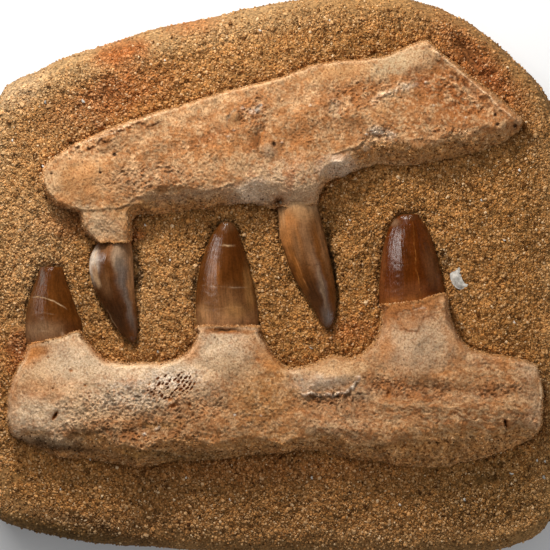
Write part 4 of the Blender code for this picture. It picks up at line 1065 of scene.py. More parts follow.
# %% Lower jaw: stains
LOWER_LOOK["marks"] = (
    ("buff", -83.4, -49.6, 22, 12, 0.95), ("ivory", -90.2, -53.6, 14, 9, 0.6),
    ("ivory", -79.4, -36, 22, 11, 0.95), ("ivory", -49.4, -36.8, 24, 4.4, 0.95),
    ("cream", -94.6, -38.4, 8, 11, 0.55), ("flame", -96.2, -30.8, 7.5, 4, 10, 0.9),
    ("flame", -92.6, -46.4, 8, 4, 0.6), ("orange", -87.4, -49.6, 3, 1.6, 0.5),
    ("flame", -100.6, -35.2, 2.4, 6, -30, 0.7), ("chalk", -40.6, -41.6, 12, 5, 8, 0.9),
    ("chalk", -57.4, -43.2, 12, 2.8, 0.75), ("grit", -49.4, -50.4, 36, 5.6, 0.85),
    ("grey", -53.4, -48.8, 16, 3, 4, 0.5), ("grey", -24.6, -46.4, 10, 4, -20, 0.55),
    ("bark", -43.4, -59.2, 13, 2.4, -2, 0.5), ("orange", -35.4, -52.8, 6, 4, 0.4),
    ("brown", -65.4, -61.6, 22, 3.4, 0.8), ("brown", -47.4, -64.4, 28, 6, 0.6),
    ("orange", -25.4, -64, 18, 6, 0.4), ("ochre", -5.4, -65.6, 24, 6, 0.5),
    ("chalk", -96.6, -64, 11, 1.6, -3, 0.7), ("bark", -89.4, -68.4, 18, 2.4, -4, 0.6),
    ("ivory", -22.2, -28.8, 13, 12, 0.85), ("cream", -16.6, -36, 12, 5, 0.6),
    ("ochre", 3.8, -35.2, 8, 7, 0.65), ("tan", -11.4, -54.4, 28, 9, 0.8),
    ("ochre", -4.6, -50.4, 13, 11, 0.55), ("ivory", 9.8, -38.8, 4.4, 2.8, 0.85),
    ("peach", 24.6, -39.2, 15, 6, 3, 0.9), ("cream", 24.6, -37.6, 15, 5, 3, 0.7),
    ("rust", 22.6, -49.2, 15, 2.4, 0.4), ("bark", 15.4, -48.4, 8, 1.2, 0.3),
    ("grey", 35.4, -47.2, 5, 3, 0.5), ("clay", 28.6, -56, 13, 6, 0.6),
    ("rust", 15.4, -54.4, 5, 1.4, -5, 0.6), ("clay", 20.6, -59.6, 7, 3, 0.6),
    ("buff", 57, -26.4, 16, 12, 0.9), ("grey_beige", 62.6, -24.8, 8, 8, 0.5),
    ("orange", 52.6, -17.6, 8, 3.6, 5, 0.75), ("rust", 48.2, -16.4, 3, 2.4, 5, 0.4),
    ("orange", 53.8, -12, 13, 2.6, 5, 0.95), ("rust", 52.6, -13.2, 13, 3.4, 5, 0.3),
    ("orange", 45.8, -15.2, 3.4, 5, 0.8), ("orange", 44.6, -29.6, 4, 5, 0.35),
    ("flame", 67.4, -37.6, 5, 2, 15, 0.6), ("rust", 45.8, -44, 14, 4.4, -6, 0.5),
    ("rust", 61.8, -46.4, 12, 4, 0.4), ("brown", 58.6, -41.6, 10, 3, 0.6),
    ("flame", 89.4, -34.8, 10, 3, -8, 0.5), ("buff", 82.6, -33.6, 8, 3, -10, 0.4),
    ("buff", 101.8, -36.8, 5, 4.4, 0.8), ("clay", 101.8, -46.4, 5, 6, 0.6),
    ("rust", 87.4, -45.6, 12, 3, 0.5), ("buff", 103.8, -55.6, 3, 8, 0.6),
    ("ochre", 74.6, -61.6, 30, 3, 0.4), ("brown", 86.6, -64.4, 12, 3, 0.6),
    ("bark", 30.6, -62.8, 8, 1.6, 0.5), ("grey_beige", 78.6, -48.4, 10, 1.8, 0.5),
    ("olive", -37.4, -71.6, 26, 2.6, 0.5), ("cream", -81.4, -47.6, 24, 13, 0.4),
    ("flame", -91.8, -45.6, 13, 6, 0.35), ("flame", -98.6, -30.4, 2.6, 8, -32, 0.6),
    ("rust", 52.6, -16, 9, 3.4, 5, 0.35), ("chalk", 19.4, -42.4, 12, 3, 3, 0.5),
    ("flame", -16.6, -21.6, 12, 1.2, 0.5), ("rust", -94.2, -46.4, 6, 2.6, 0.3),
    ("chalk", -58.2, -48.4, 15, 4.6, 0.35), ("ivory", -95, -55.2, 13, 8, 0.6),
)

# %% Lower jaw: spots and bare bone
LOWER_LOOK["spots"] = (
    ("pitch", -87, -55.6, 0.5, 1.5, -30, 1), ("pitch", 92.2, -58, 0.6, 0.7, 1),
    ("pitch", 92.6, -59.6, 0.5, 0.8, 20, 1), ("rust", -19.8, -22, 7, 1, -4, 1),
    # the black stroke at the start of this line fills the slot at the middle crown's base with
    # painted shade
    ("pitch", -19.8, -21.6, 5.6, 0.6, -4, 1), ("orange", -13.4, -18.4, 3, 2, 0.4),
    ("umber", -23.4, -24.4, 0.5, 0.45, 0.9), ("umber", -89.8, -32.4, 0.5, 0.5, 0.9),
    ("rust", -91, -30.4, 1.2, 1, 0.6), ("umber", -95.4, -34.8, 0.4, 0.4, 0.8),
    ("umber", -75, -43.6, 0.5, 0.5, 0.9), ("umber", -87.8, -44.8, 0.5, 0.4, 0.9),
    ("orange", -80.6, -37.6, 0.9, 0.7, 0.9), ("slate", -6.2, -33.2, 1.2, 0.8, -20, 0.95),
    ("umber", -35, -32.4, 0.5, 0.4, 0.8), ("umber", 45.8, -46.8, 0.8, 1.4, 0.9),
    ("shell", -51.4, -62.8, 0.7, 0.6, 0.9), ("shell", -46.2, -60.4, 1.2, 0.6, 30, 0.9),
    ("rust", 97.8, -36, 1, 0.7, -20, 0.8), ("slate", 11.4, -41.2, 0.7, 0.5, 0.7),
    ("umber", 51.8, -33.2, 0.5, 0.4, 0.8), ("shell", -15.4, -55.2, 0.6, 0.5, 0.8),
    ("shell", -5, -55.6, 0.5, 0.4, 0.7),
)
# laid last, over the sand that lies on the bone
LOWER_LOOK["bare"] = (
    ("grit", -90.2, -65.6, 15, 2.4, -6, 0.75), ("bark", -87.4, -68.4, 16, 1.6, -8, 0.6),
    ("olive", -37.4, -72, 24, 2.2, 0.45), ("ochre", 66.6, -68, 24, 3, 0.35),
    # the umber mark at the start of this line is painted shadow under the lower left edge
    ("umber", -80.6, -68.4, 14, 1.6, -8, 0.45), ("orange", -18.2, -21.2, 14, 1.8, 0.55),
    ("orange", 55.8, -9.6, 15, 1.5, 8, 0.75), ("peach", -88.6, -24.4, 13, 1.3, 12, 0.5),
    # the black stroke at the start of this line is painted shade in the slot at the middle crown's
    # base
    ("pitch", -19.8, -21.6, 5.6, 0.7, -3, 0.95), ("pitch", 92.2, -58, 0.7, 0.9, 0.95),
    ("pitch", 92.6, -60, 0.5, 0.8, 20, 0.95), ("pitch", -87, -55.6, 0.5, 1.4, -30, 0.9),
    ("flame", -31, -30, 2.2, 6, -35, 0.5), ("flame", -2.2, -34.4, 3, 6, 40, 0.5),
    ("flame", -97, -30.4, 5, 4, 30, 0.75), ("flame", 44.6, -28, 2, 7, -15, 0.45),
    ("flame", 72.2, -28, 2, 8, 28, 0.4), ("orange", -104.2, -44.8, 2, 11, 0.4),
    ("orange", -69.4, -31.2, 6, 1.6, -40, 0.5),
)
print(len(LOWER_LOOK["marks"]), "stains and", len(LOWER_LOOK["spots"]), "spots")

# %% Make the lower jaw
lower_jaw = make_bone("lower_jaw_bone", lower_loop, "tan", LOWER_LOOK)

# %% [markdown]
# ## The tooth crowns
# A mosasaur's crown is a cone with two keels, slightly flattened facets between them and
# enamel that is drawn out in fine lengthwise lines. It is lofted from ovals along its height,
# like the ribs of a boat. Two of the tips were broken off square in life. The enamel is dark
# and glossy, so a few tenths of a millimetre of unevenness is enough to break up its
# highlight, and thin cracks run across it.

# %% Enamel
ENAMEL_DRAW = (150.0, 7.0, 1.0)  # the lines are many round the crown and long
ENAMEL_MOTTLE = 0.8  # size of the mottle


def enamel(name):
    """Glossy dark enamel over the painted colour, with fine lengthwise lines."""
    material, tree, shader = new_material(name, {})
    along = node(tree, "ShaderNodeUVMap", uv_map="crown").outputs["UV"]
    drawn = node(tree, "ShaderNodeMapping", {"Vector": along, "Scale": ENAMEL_DRAW})
    lines = node(tree, "ShaderNodeTexNoise", {"Vector": drawn.outputs["Vector"], "Scale": 1.0,
                                              "Detail": 3.0}).outputs["Fac"]
    mottle = fine_noise(tree, ENAMEL_MOTTLE, Detail=3.0)
    colour = multiply(tree, painted(tree), ramp(tree, lines, ((0.3, 0.78), (0.7, 1.0))))
    colour = multiply(tree, colour, ramp(tree, mottle, ((0.3, 0.7), (0.6, 1.0))))
    tree.links.new(colour, shader.inputs["Base Color"])
    dull = ramp(tree, mottle, ((0.35, 0.16), (0.65, 0.27)))
    tree.links.new(dull, shader.inputs["Roughness"])
    tree.links.new(painted(tree, "gloss", "Fac"), shader.inputs["Specular IOR Level"])
    bumpy(tree, shader, lines, 0.6, 0.2)
    return material


enamel_finish = enamel("tooth_enamel")
print("finish:", enamel_finish.name)

# %% Sections of the crowns
CROWN_DEPTH = 0.86  # half depth of a section as a share of its half width
CROWN_KEEL = 1.06  # the keels stand out by this factor
KEEL_SHARPNESS = 8
CROWN_FACET = 0.03  # how far the flat facets between the keels dip
CROWN_FULLNESS = 1.6  # 2 gives an oval; less flattens the facets beside the ridge
CROWN_SIDES = 168
CROWN_RINGS = 150
# from the base to the tip: left x, y, right x, y, height over the face
CROWNS = {
    "upper_front_tooth": (
        (-69.5, 14.2, -57.2, 14.2, 6.5), (-72.8, 9.2, -56.4, 9.4, 8.2),
        (-73.8, 3.5, -56.2, 4.2, 8.6), (-72.3, -3.8, -55.8, -3.6, 8.4),
        (-69.8, -9.5, -55.2, -9.5, 7.8), (-66.6, -15.2, -54.6, -15.2, 6.8),
        (-63, -21, -54.5, -21.2, 5.4), (-57.8, -26.4, -55.2, -26.6, 3.9),
    ),
    "upper_rear_tooth": (
        (1.6, 28.2, 17.2, 28.4, 8.6), (2, 22.8, 18.8, 23.2, 9.2), (2.4, 16.6, 20.4, 16.8, 9.4),
        (4.8, 8, 22.4, 8, 9), (8.2, -0.8, 24.2, -0.8, 8.2), (12.8, -8.4, 25, -8.4, 7),
        (16.6, -14.6, 24.8, -14.6, 5.6), (20, -20.8, 22.8, -21, 3.8),
    ),
    "lower_front_tooth": (
        (-98.4, -28, -76.8, -22.8, 8.6), (-99.4, -23, -76.8, -18.6, 9),
        (-99.2, -15, -78.4, -14.8, 8.8), (-97.6, -8.6, -80.6, -8.6, 8.2),
        (-95.6, -3.2, -82.6, -3.2, 7.2), (-94, 1.6, -84, 1.8, 5.8), (-93.6, 3.8, -84.6, 3.8, 4.8),
    ),
    "lower_middle_tooth": (
        (-30.8, -21, -6, -21, 9), (-31.2, -14, -6.2, -14, 9.4), (-31, -6, -7.4, -6, 9.4),
        (-29.6, 3, -9.6, 3, 9), (-27.2, 10.4, -11.6, 10.4, 8.2), (-24.8, 16.2, -13.6, 16.2, 7),
        (-22.2, 20, -15.4, 20, 5.4), (-20.4, 21.8, -17, 21.8, 4.4),
    ),
    "lower_rear_tooth": (
        (42.4, -12, 68.4, -8.2, 9.6), (42.2, -5.4, 68.6, -4.6, 10), (43, 4.4, 66.8, 3.4, 10),
        (44, 11.6, 64.6, 11, 9.4), (46, 18.4, 62, 18.4, 8.2), (48.6, 22.6, 59.2, 22.4, 6.8),
        (51.4, 24.8, 58, 24.8, 5.6),
    ),
}
print(len(CROWNS), "crowns of", CROWN_RINGS, "rings")

# %% Stains and cracks of the front crowns
# "gloss" is the shine at four places from the base to the tip
CROWN_LOOKS = {}
CROWN_LOOKS["lower_front_tooth"] = {
    "ground": "mauve", "broken": True, "gloss": (0.05, 0.07, 0.09, 0.2),
    "marks": (
        ("brown", -91.4, -24.8, 12, 5.5, 12, 0.6), ("clay", -93.4, -22, 9, 4.4, 0.4),
        ("brown", -97, -12.8, 2, 10, -8, 0.3), ("mahogany", -81.4, -14.4, 3, 14, 8, 0.5),
        # the grey stroke on this line is a painted highlight
        ("mahogany", -88.6, -0.8, 6, 5, 0.4), ("highlight_grey", -92.6, 0, 0.8, 4, -8, 0.5),
        ("rust", -100.6, -28, 4, 2, 10, 0.7),
    ),
    "seams": (
        ("cream", 0.9, 0.20, 0.12, 0.03, (-97.8, -8.4, -94.2, -8.4, -91, -8.8, -87.8, -10, -83.8,
          -12, -81.8, -13.6)),
        ("clay", 0.4, 0.22, 0.05, 0, (-98.6, -16, -95, -14.8, -90.2, -14.8, -86.2, -15.6)),
        ("clay", 0.4, 0.25, 0.05, 0, (-95.8, -23.2, -92.6, -22, -87.8, -22)),
        ("buff", 0.9, 0.6, 0.25, 0, (-85.4, -21.2, -84.2, -23.2, -82.6, -25.2)),
        ("peach", 0.8, 0.7, 0.2, 0, (-85.4, -24.8, -81.4, -24, -77.8, -22.8)),
    ),
}
CROWN_LOOKS["upper_front_tooth"] = {
    "ground": "mauve", "broken": False, "gloss": (0.15, 0.3, 0.4, 0.4),
    "marks": (
        ("brown", -64.6, 10.4, 6, 3.6, 0.6), ("rust", -65, 9.6, 1.6, 3.4, 0.5),
        ("pitch", -63.8, -13.6, 5, 13, 22, 0.95), ("mahogany", -65.4, -8, 4, 7, 12, 0.4),
        ("brown", -67, -3.2, 2.4, 6, 8, 0.5), ("chalk", -72.2, 5.6, 2.2, 7.5, -2, 1),
        ("orange", -71.4, 1.6, 0.7, 3, 10, 0.7), ("cream", -70.6, -1.6, 1.1, 3, 16, 0.8),
        # the buff stroke on this line and the two grey strokes on the next are a painted highlight
        # streak
        ("tan", -56.6, 4.4, 2.4, 13, 0.95), ("buff", -61.8, 7.2, 2.6, 6, 4, 0.75),
        ("highlight_grey", -60.6, 0.8, 2.4, 8, 6, 0.75), ("highlight_grey", -57.8, -12, 1.3, 12, 13, 0.7),
        ("iron", -57, 14.4, 2, 1.6, 0.8),
    ),
    "seams": (
        ("peach", 0.6, 0.30, 0, 0, (-70.6, 11.6, -71.4, 5.6, -70.2, 0, -71.4, -3.2)),
        ("buff", 0.5, 0.18, 0, 0, (-67, -12, -64.6, -17.6, -61, -23.2)),
    ),
}

# %% Stains and cracks of the other crowns
CROWN_LOOKS["lower_middle_tooth"] = {
    "ground": "mauve", "broken": False, "gloss": (0.05, 0.10, 0.34, 0.34),
    "marks": (
        ("tan", -18.6, -17.6, 14, 5, 0.7), ("ochre", -15, -13.6, 4, 3.4, 0.6),
        ("peach", -27.8, -15.2, 2.4, 4.6, 0.5), ("mahogany", -14.2, 13.2, 5, 11, 4, 0.9),
        ("mahogany", -18.2, 3.2, 4, 8, 0.6), ("amber", -23.8, 0.4, 2.6, 10, -4, 0.3),
        ("brown", -19, -9.2, 11, 5, 0.5), ("ochre", -9.8, -5.6, 1.8, 9, 8, 0.55),
        ("bark", -17.8, 20.4, 3, 2.4, 0.6),
    ),
    "seams": (
        ("cream", 1, 0.32, 0.10, 0.04, (-21.8, 11.6, -19.8, 12.4, -18.2, 12, -14.6, 12.4)),
        ("buff", 0.6, 0.20, 0.05, 0, (-30.2, -4, -27, -3.6, -23.8, -4.4)),
        ("buff", 0.35, 0.20, 0.05, 0, (-27.8, -4.4, -22.2, -4, -16.6, -4.8, -9, -4.4)),
        ("tan", 0.3, 0.20, 0.05, 0, (-29.4, -12, -20.6, -12.8, -9.4, -12)),
        ("buff", 0.4, 0.18, 0, 0, (-11.4, 14.4, -9, 5.6, -7, -5.6, -6.2, -16.8)),
    ),
}
CROWN_LOOKS["upper_rear_tooth"] = {
    "ground": "mauve", "broken": False, "gloss": (0.05, 0.12, 0.5, 0.5),
    "marks": (
        ("cream", 9, 28, 11, 3.4, 0.9), ("peach", 9.8, 25.2, 9, 3.4, 0.8),
        # the grey stroke at the start of this line is a painted highlight
        ("highlight_grey", 19.4, -3.6, 1.6, 12, 15, 0.7), ("clay", 3, 23.2, 1.8, 5, 4, 0.6),
        ("flame", 6.6, 19.2, 3, 8, 10, 1), ("peach", 3, 21.6, 1.5, 8, 8, 0.8),
        ("brown", 9.4, 11.2, 2, 8, 16, 0.8), ("flame", 4.6, 14.4, 1.4, 9, 14, 0.8),
        ("amber", 9.4, 3.2, 1.5, 10, 20, 0.7), ("tan", 12.2, 22.4, 5, 6, 10, 0.35),
        ("amber", 15.4, 10.4, 5, 15, 14, 0.25), ("tan", 19.4, 14.4, 1.6, 14, 13, 0.4),
        ("clay", 13.8, 12.8, 2.4, 11, 12, 0.3), ("pitch", 16.6, -8, 4, 9, 18, 0.7),
        # the grey stroke and the thin clay stroke on this line are painted highlights
        ("highlight_grey", 21.4, -16.8, 2.4, 4.4, 15, 0.6), ("clay", 19, -3.2, 0.7, 9, 14, 0.5),
    ),
    "seams": (
        ("tan", 0.4, 0.20, 0.05, 0, (3.4, 17.6, 9.8, 19.2, 16.2, 18.8)),
        ("umber", 0.4, 0.20, 0.06, 0, (10.6, 5.6, 15.4, 4, 21.8, 5.6)),
        ("flame", 0.8, 0.22, 0, 0, (7.4, 10.4, 10.2, 3.2, 14.2, -6.4)),
    ),
}
CROWN_LOOKS["lower_rear_tooth"] = {
    "ground": "maroon", "broken": True, "gloss": (0.06, 0.2, 0.37, 0.32),
    "marks": (
        ("amber", 55.8, -9.2, 14, 2.2, 8, 0.65), ("rust", 53.8, -7.2, 13, 4.4, 4, 0.5),
        ("mahogany", 51.4, 8.4, 4, 16, 0.7), ("mahogany", 61.8, 8.4, 5, 14, 14, 0.3),
        ("brown", 63.4, 2.4, 3, 10, 12, 0.3), ("rust", 43.8, 4.4, 1.2, 12, -4, 0.45),
        ("clay", 48.2, 21.2, 2, 1.8, 0.5), ("bark", 54.2, 24, 3.6, 1.2, 0.5),
    ),
    "seams": (
        ("amber", 0.7, 0.17, -0.06, 0.04, (55.4, 23.6, 56.2, 14.4, 56.6, 5.6, 57.8, -2.4, 59,
          -9.6)),
        ("bark", 0.5, 0.25, 0.10, 0.05, (51, 24, 49.4, 21.6, 47, 19.2)),
        ("umber", 0.3, 0.22, 0.05, 0, (45.8, 5.6, 51.4, 4.4, 57, 5.6)),
    ),
}
print(sum(len(look["seams"]) for look in CROWN_LOOKS.values()), "cracks and lines in the enamel")

# %% Loft a crown
BASE_TUCK = 1.4  # the base reaches this far into the root
TIP_ROUNDING = {True: 0.03, False: 0.07}  # share of the height that rounds off the tip
TIP_LEAST = {True: 0.35, False: 0.12}  # width that is left at the tip


def crown_form(sections, broken):
    """Rings of points of a crown, the way out at each of them, and their angle and height."""
    tuck = sections[0, :4] - sections[1, :4]
    sections[0, :4] += tuck / np.hypot(*tuck[:2]) * BASE_TUCK
    rows = smooth_path(sections, CROWN_RINGS)
    share = np.linspace(0.0, 1.0, CROWN_RINGS)
    run, least = TIP_ROUNDING[broken], TIP_LEAST[broken]
    narrow = np.sqrt(np.clip(1.0 - (np.clip(share - 1.0 + run, 0.0, 1.0) / run) ** 2, 0.0, 1.0))
    narrow = least + (1.0 - least) * narrow
    left, right = rows[:, :2], rows[:, 2:4]
    centre, half = (left + right) / 2, (right - left) / 2
    full = np.hypot(*half.T) * CROWN_DEPTH
    level = face_height(centre[:, 0], centre[:, 1]) + rows[:, 4] - full
    angle = np.linspace(0.0, 2 * math.pi, CROWN_SIDES, endpoint=False)
    keel = (1.0 + (CROWN_KEEL - 1.0) * np.cos(angle) ** KEEL_SHARPNESS) / CROWN_KEEL
    facet = 1.0 - CROWN_FACET * np.cos(4 * angle) ** 2
    across, upright = (np.sign(part) * np.abs(part) ** (2 / CROWN_FULLNESS)
                       for part in (np.cos(angle), np.sin(angle)))
    out_x = (half[:, None, :] * (across * keel)[None, :, None]) * narrow[:, None, None]
    out_z = full[:, None] * (upright * facet)[None, :] * narrow[:, None]
    ring = np.dstack([out_x[..., 0], out_x[..., 1], out_z])
    places = np.column_stack([centre, level])[:, None, :] + ring
    outward = ring / np.maximum(np.linalg.norm(ring, axis=2), 0.2)[..., None]
    around, upward = np.meshgrid(angle, share)
    return places.reshape(-1, 3), outward.reshape(-1, 3), around.ravel(), upward.ravel()

# %% Dress a crown
COLLAR = 0.28  # the enamel's edge stands out by this, at the root
COLLAR_PLACE = 0.02  # up to this share of the height
COLLAR_RAGGED = (1.5, 0.008, 8.0)  # lump size, height and seed of that edge
ENAMEL_WAVE = ((6.0, 0.06, 2.0), (1.5, 0.06, 2.0))  # lump size, height and seed
LINE_HEIGHT = 0.09
LINE_SEED = 5.0
LINE_PLACE = (14, 14, 4)  # lines repeat round the crown more than along it
CROWN_TONE = ((3.0, 0.2, 1.0),)  # patches of light and dark: size, share and seed
LINE_TONE = ((1.3, 0.3, 2.0),)  # and such lines
CRACK_SWAY = 0.2  # cracks stray by this share of what stains do, stains by half
TIP_CALM = (1.02, 0.06)  # the very tip is left smooth
GLOSS_PLACES = (0.0, 0.35, 0.7, 1.0)  # heights of the four values of "gloss"


def make_crown(name, sections, look):
    """A tooth crown as a closed loft of ovals, with cracks on its upper side."""
    places, outward, around, upward = crown_form(np.array(sections, dtype=float), look["broken"])
    x, y = places[:, 0], places[:, 1]
    colours = coat(look["ground"], len(x))
    moved_x, moved_y = wander(x, y, 3.0)
    lay(colours, 0.5 * (x + moved_x), 0.5 * (y + moved_y), look["marks"])
    drawn = np.column_stack([np.cos(around), np.sin(around), upward]) * LINE_PLACE
    swell = layers(places, ENAMEL_WAVE) + LINE_HEIGHT * rumple(drawn, 1.0, LINE_SEED)
    near_x, near_y = ((1.0 - CRACK_SWAY) * own + CRACK_SWAY * moved
                      for own, moved in ((x, moved_x), (y, moved_y)))
    swell += seam_relief(look["seams"], near_x, near_y, colours) * (np.sin(around) > 0.0)
    swell += COLLAR * (1.0 - ease(upward / (COLLAR_PLACE + layers(drawn, [COLLAR_RAGGED]))))
    places = places + outward * (swell * ease((TIP_CALM[0] - upward) / TIP_CALM[1]))[:, None]
    lines = layers(drawn * (1, 1, 3), LINE_TONE)
    colours *= (1.0 + layers(places, CROWN_TONE) + lines)[:, None]

    faces = tube_faces(CROWN_RINGS, CROWN_SIDES)
    piece = outward_mesh(make_piece(name + "_enamel", places, faces, enamel_finish, colours))
    store(piece, "gloss", np.interp(upward, GLOSS_PLACES, look["gloss"]))
    crown_uv = piece.data.uv_layers.new(name="crown")
    corner = np.zeros(len(piece.data.loops), dtype=int)
    piece.data.loops.foreach_get("vertex_index", corner)
    uv = np.column_stack([around[corner] / (2 * math.pi), upward[corner]])
    crown_uv.data.foreach_set("uv", uv.ravel())
    return piece


crowns = {name: make_crown(name, sections, CROWN_LOOKS[name]) for name, sections in CROWNS.items()}

# %% [markdown]
# ## The slab
# The rock is a soft sand with shell in it. Its broken sides are rounded, its back is flat, and
# its face holds the bones. The mesh is a honeycomb relief inside the shoulder and a stack of
# rings down the sides. Noise at three sizes makes it lumpy down to about two millimetres, and
# the sand grains on top of it do the rest. Under the bones the rock is sunk, and along their
# edges runs a thin groove, as the tool left it.

# %% Outline of the slab
SLAB_PLAN = (
    (-120.5, -9.5), (-120, 22.5), (-117.5, 50.5), (-109.5, 75), (-95.5, 83), (-83.5, 89), (-70, 93),
    (-50, 99.5), (-28.5, 104), (0.5, 110.5), (30.5, 113.5), (48.5, 113), (62, 110), (79, 102.5),
    (97.5, 87.5), (110.5, 73), (116, 58.5), (119, 34.5), (120.5, -9.5), (120, -49.5), (117, -81.5),
    (110.5, -101), (95.5, -109.5), (74.5, -113), (42.5, -113.5), (10.5, -113.5), (-17.5, -112),
    (-52, -109.5), (-76, -107.5), (-95.5, -103.5), (-110.5, -98.5), (-117.5, -88.5),
    (-119.5, -61.5),
)
# inset from the silhouette and height of each ring of the side, from the back up
SLAB_SIDE = ((15, 0), (7, 2.5), (2.2, 9), (0, 18), (1.6, 25.5), (5, 30.5))
SLAB_SHOULDER = 10.0  # inset at which the side has turned into the face
SIDE_WAVE = 0.5
LEVEL_WAVE = 0.05
SLAB_OUTLINE_STEP = 1.5
SIDE_RINGS = 26
FACE_TRIANGLES = 165000
SLAB_LUMPS = ((11.0, 0.45, 7.0), (4.2, 0.5, 7.0), (2.1, 0.62, 7.0))  # size, height and seed
LUMP_ROOM = 0.55  # lumps at the silhouette only sink, to stay in the box
BED_DEPTH = 3.0  # the rock under bones is sunk by this
GROOVE = 0.6  # depth of the groove along a bone
CROWN_GROOVE = 1.6  # and along a crown, where the tool went deeper
GROOVE_RUN = 0.9
SLAB_MARKS = (
    ("red_sand", -61.4, 89.6, 12, 6, 15, 0.9), ("red_sand", -32.6, 101.6, 12, 5, 5, 0.6),
    ("red_sand", -65.4, 71.2, 26, 9, 20, 0.75), ("light_sand", -85.4, 80.4, 14, 6, 35, 0.5),
    ("red_sand", 82.6, 84, 24, 8, -45, 0.85), ("dark_sand", 80.2, 86.4, 16, 4, -48, 0.5),
    ("red_sand", -3.4, -77.6, 50, 6, 0.4), ("red_sand", -102.2, -29.6, 5.4, 8, 1),
    ("rust", -101.4, -28, 3.4, 6, 20, 0.7), ("red_sand", -62.2, 89.6, 10, 4, 15, 0.6),
    ("iron", -66.2, 75.2, 14, 4, 40, 0.3), ("iron", 84.2, 82.4, 12, 3, -45, 0.35),
    ("red_sand", -85.4, 20.4, 12, 6, 0.6), ("light_sand", -49.4, -5.6, 26, 24, 0.25),
    ("dark_sand", 0.6, -85.6, 90, 10, 0.45), ("olive", 90.6, -89.6, 32, 20, 10, 0.5),
    ("olive", 98.6, 6.4, 12, 40, 0.2), ("dark_sand", -69.4, -101.6, 40, 10, 8, 0.5),
    # the umber band at the end of this line is painted shade where the lower left side turns away
    # from the lamp
    ("dark_sand", 10.6, -101.6, 90, 12, 0.4), ("umber", -81.4, -98, 34, 2.8, -15, 0.5),
    # the light sand mark at the start of this line is painted light on the left of the face
    ("light_sand", -100.6, 12.4, 12, 34, 0.3), ("ivory", -101.4, 74.4, 12, 6, 30, 0.3),
    ("red_sand", 30.6, -21.6, 12, 6, 0.5), ("red_sand", -55.4, 16.4, 3, 3, 0.9),
    # the long thin umber strokes on this line, on the next and the first on the line after are
    # painted shadow lines beside the crowns
    ("umber", 23.8, 5.6, 16, 1.3, -81, 0.9), ("umber", -54.2, 0.4, 13, 1, -88, 0.8),
    ("umber", 69.8, 4.4, 14, 0.8, -68, 0.6), ("umber", -31.8, -3.6, 10, 0.8, 88, 0.6),
    ("umber", 39.4, 5.6, 8, 0.8, 85, 0.5), ("umber", -93.4, 3.2, 1.6, 1, 0.9),
    # the light sand mark at the end of this line is painted light on the left of the face
    ("rust", -70.2, 60.8, 2.4, 1.8, 20, 0.9), ("light_sand", -95, 8.4, 14, 32, 0.6),
    ("light_sand", -89.4, 58.4, 30, 16, 35, 0.35), ("light_sand", -13.4, 86.4, 40, 12, 12, 0.2),
    # the olive band on this line is painted shade along the lower left side, which turns away from
    # the lamp
    ("olive", -85.4, -104, 36, 5, -12, 0.8),
)
SLAB_PITS = (
    (40.2, 89.2, 1.3, 1.1, -2.2), (-34.6, 77.6, 1.2, 1, -2), (70.2, 88, 1, 0.9, -1.8),
    (72.2, 86.4, 0.9, 0.9, -1.8), (88.2, 81.2, 1.3, 0.9, 30, -2), (93.8, 69.2, 1.2, 1, -2),
    (-92.2, 43.2, 1.3, 1.1, -2), (-93.8, 33.6, 1, 1, -1.8), (-81.4, 53.6, 1.2, 0.8, 20, -1.8),
    (83.8, 80.8, 1, 0.8, -1.8), (56.2, 45.6, 1.1, 0.9, -1.8), (82.6, -82.4, 2.6, 1.8, 20, -2.6),
    (90.6, -75.6, 1.8, 1.5, -2.4), (88.6, -81.6, 1.6, 1.6, -2.2), (78.6, 87.2, 1.4, 7, 32, -1.8),
    (23.8, 5.6, 16, 1, -81, -2.2), (-54.2, 0.4, 13, 0.8, -88, -1.8), (-70.2, 60.8, 2, 1.5, 20, 1),
    (99.8, -67.6, 1.3, 1, -1.6), (102.6, -21.2, 0.9, 0.8, -1.2),
)
print(len(SLAB_MARKS), "marks and", len(SLAB_PITS), "pits on the slab")

# %% Outline of a crown, and the sides of the slab
def crown_outline(sections):
    """Outline of a crown over the plan, clockwise."""
    rows = smooth_path(sections, 40)
    loop = np.vstack([rows[:, :2], rows[::-1, 2:4]])
    turn = np.sum(loop[:, 0] * np.roll(loop[:, 1], -1) - loop[:, 1] * np.roll(loop[:, 0], -1))
    loop = loop if turn < 0 else loop[::-1]
    return np.column_stack([loop, np.ones(len(loop))])


def slab_side(loop):
    """Rings of the side, from the flat back up to the shoulder."""
    uneven = unevenness(loop[:, 0], loop[:, 1], FACE_WAVE_SIZE, 1.0)
    controls = []
    for depth, level in SLAB_SIDE:
        shifted = inset(loop, (depth * (1.0 + SIDE_WAVE * min(level, 1.0) * uneven))[:, None])
        controls.append(np.column_stack([shifted, level * (1.0 + LEVEL_WAVE * uneven)]))
    shoulder = inset(loop, SLAB_SHOULDER)
    controls.append(np.column_stack([shoulder, face_height(shoulder[:, 0], shoulder[:, 1])]))
    side = smooth_path(np.array(controls), SIDE_RINGS)
    side[..., 2] = np.maximum(side[..., 2], 0.0)
    return side

# %% Make the slab
SIDE_BELOW = 26.0  # under this height a place belongs to the side
SIDE_BLEND = 10.0
LUMP_GAIN = 1.2
BACK_FLAT = (0.5, 4.0)  # lumps begin this far over the back, over this run
SLAB_HEART = (0.0, 0.0, 12.0)  # lumps of the side point away from here
BED_RUN = (0.3, 1.2)  # a bed begins this far inside a bone, over this run
RIM_PAINTED_LIGHT = (17.0, 9.0)  # painted light: the rim is paler up to this depth, over this run
SLAB_TONE = ((14.0, 0.16, 2.0), (5.0, 0.14, 3.0))  # lump size, share and seed
GRAIN_TONE = ((1.6, 0.5, 4.0),)


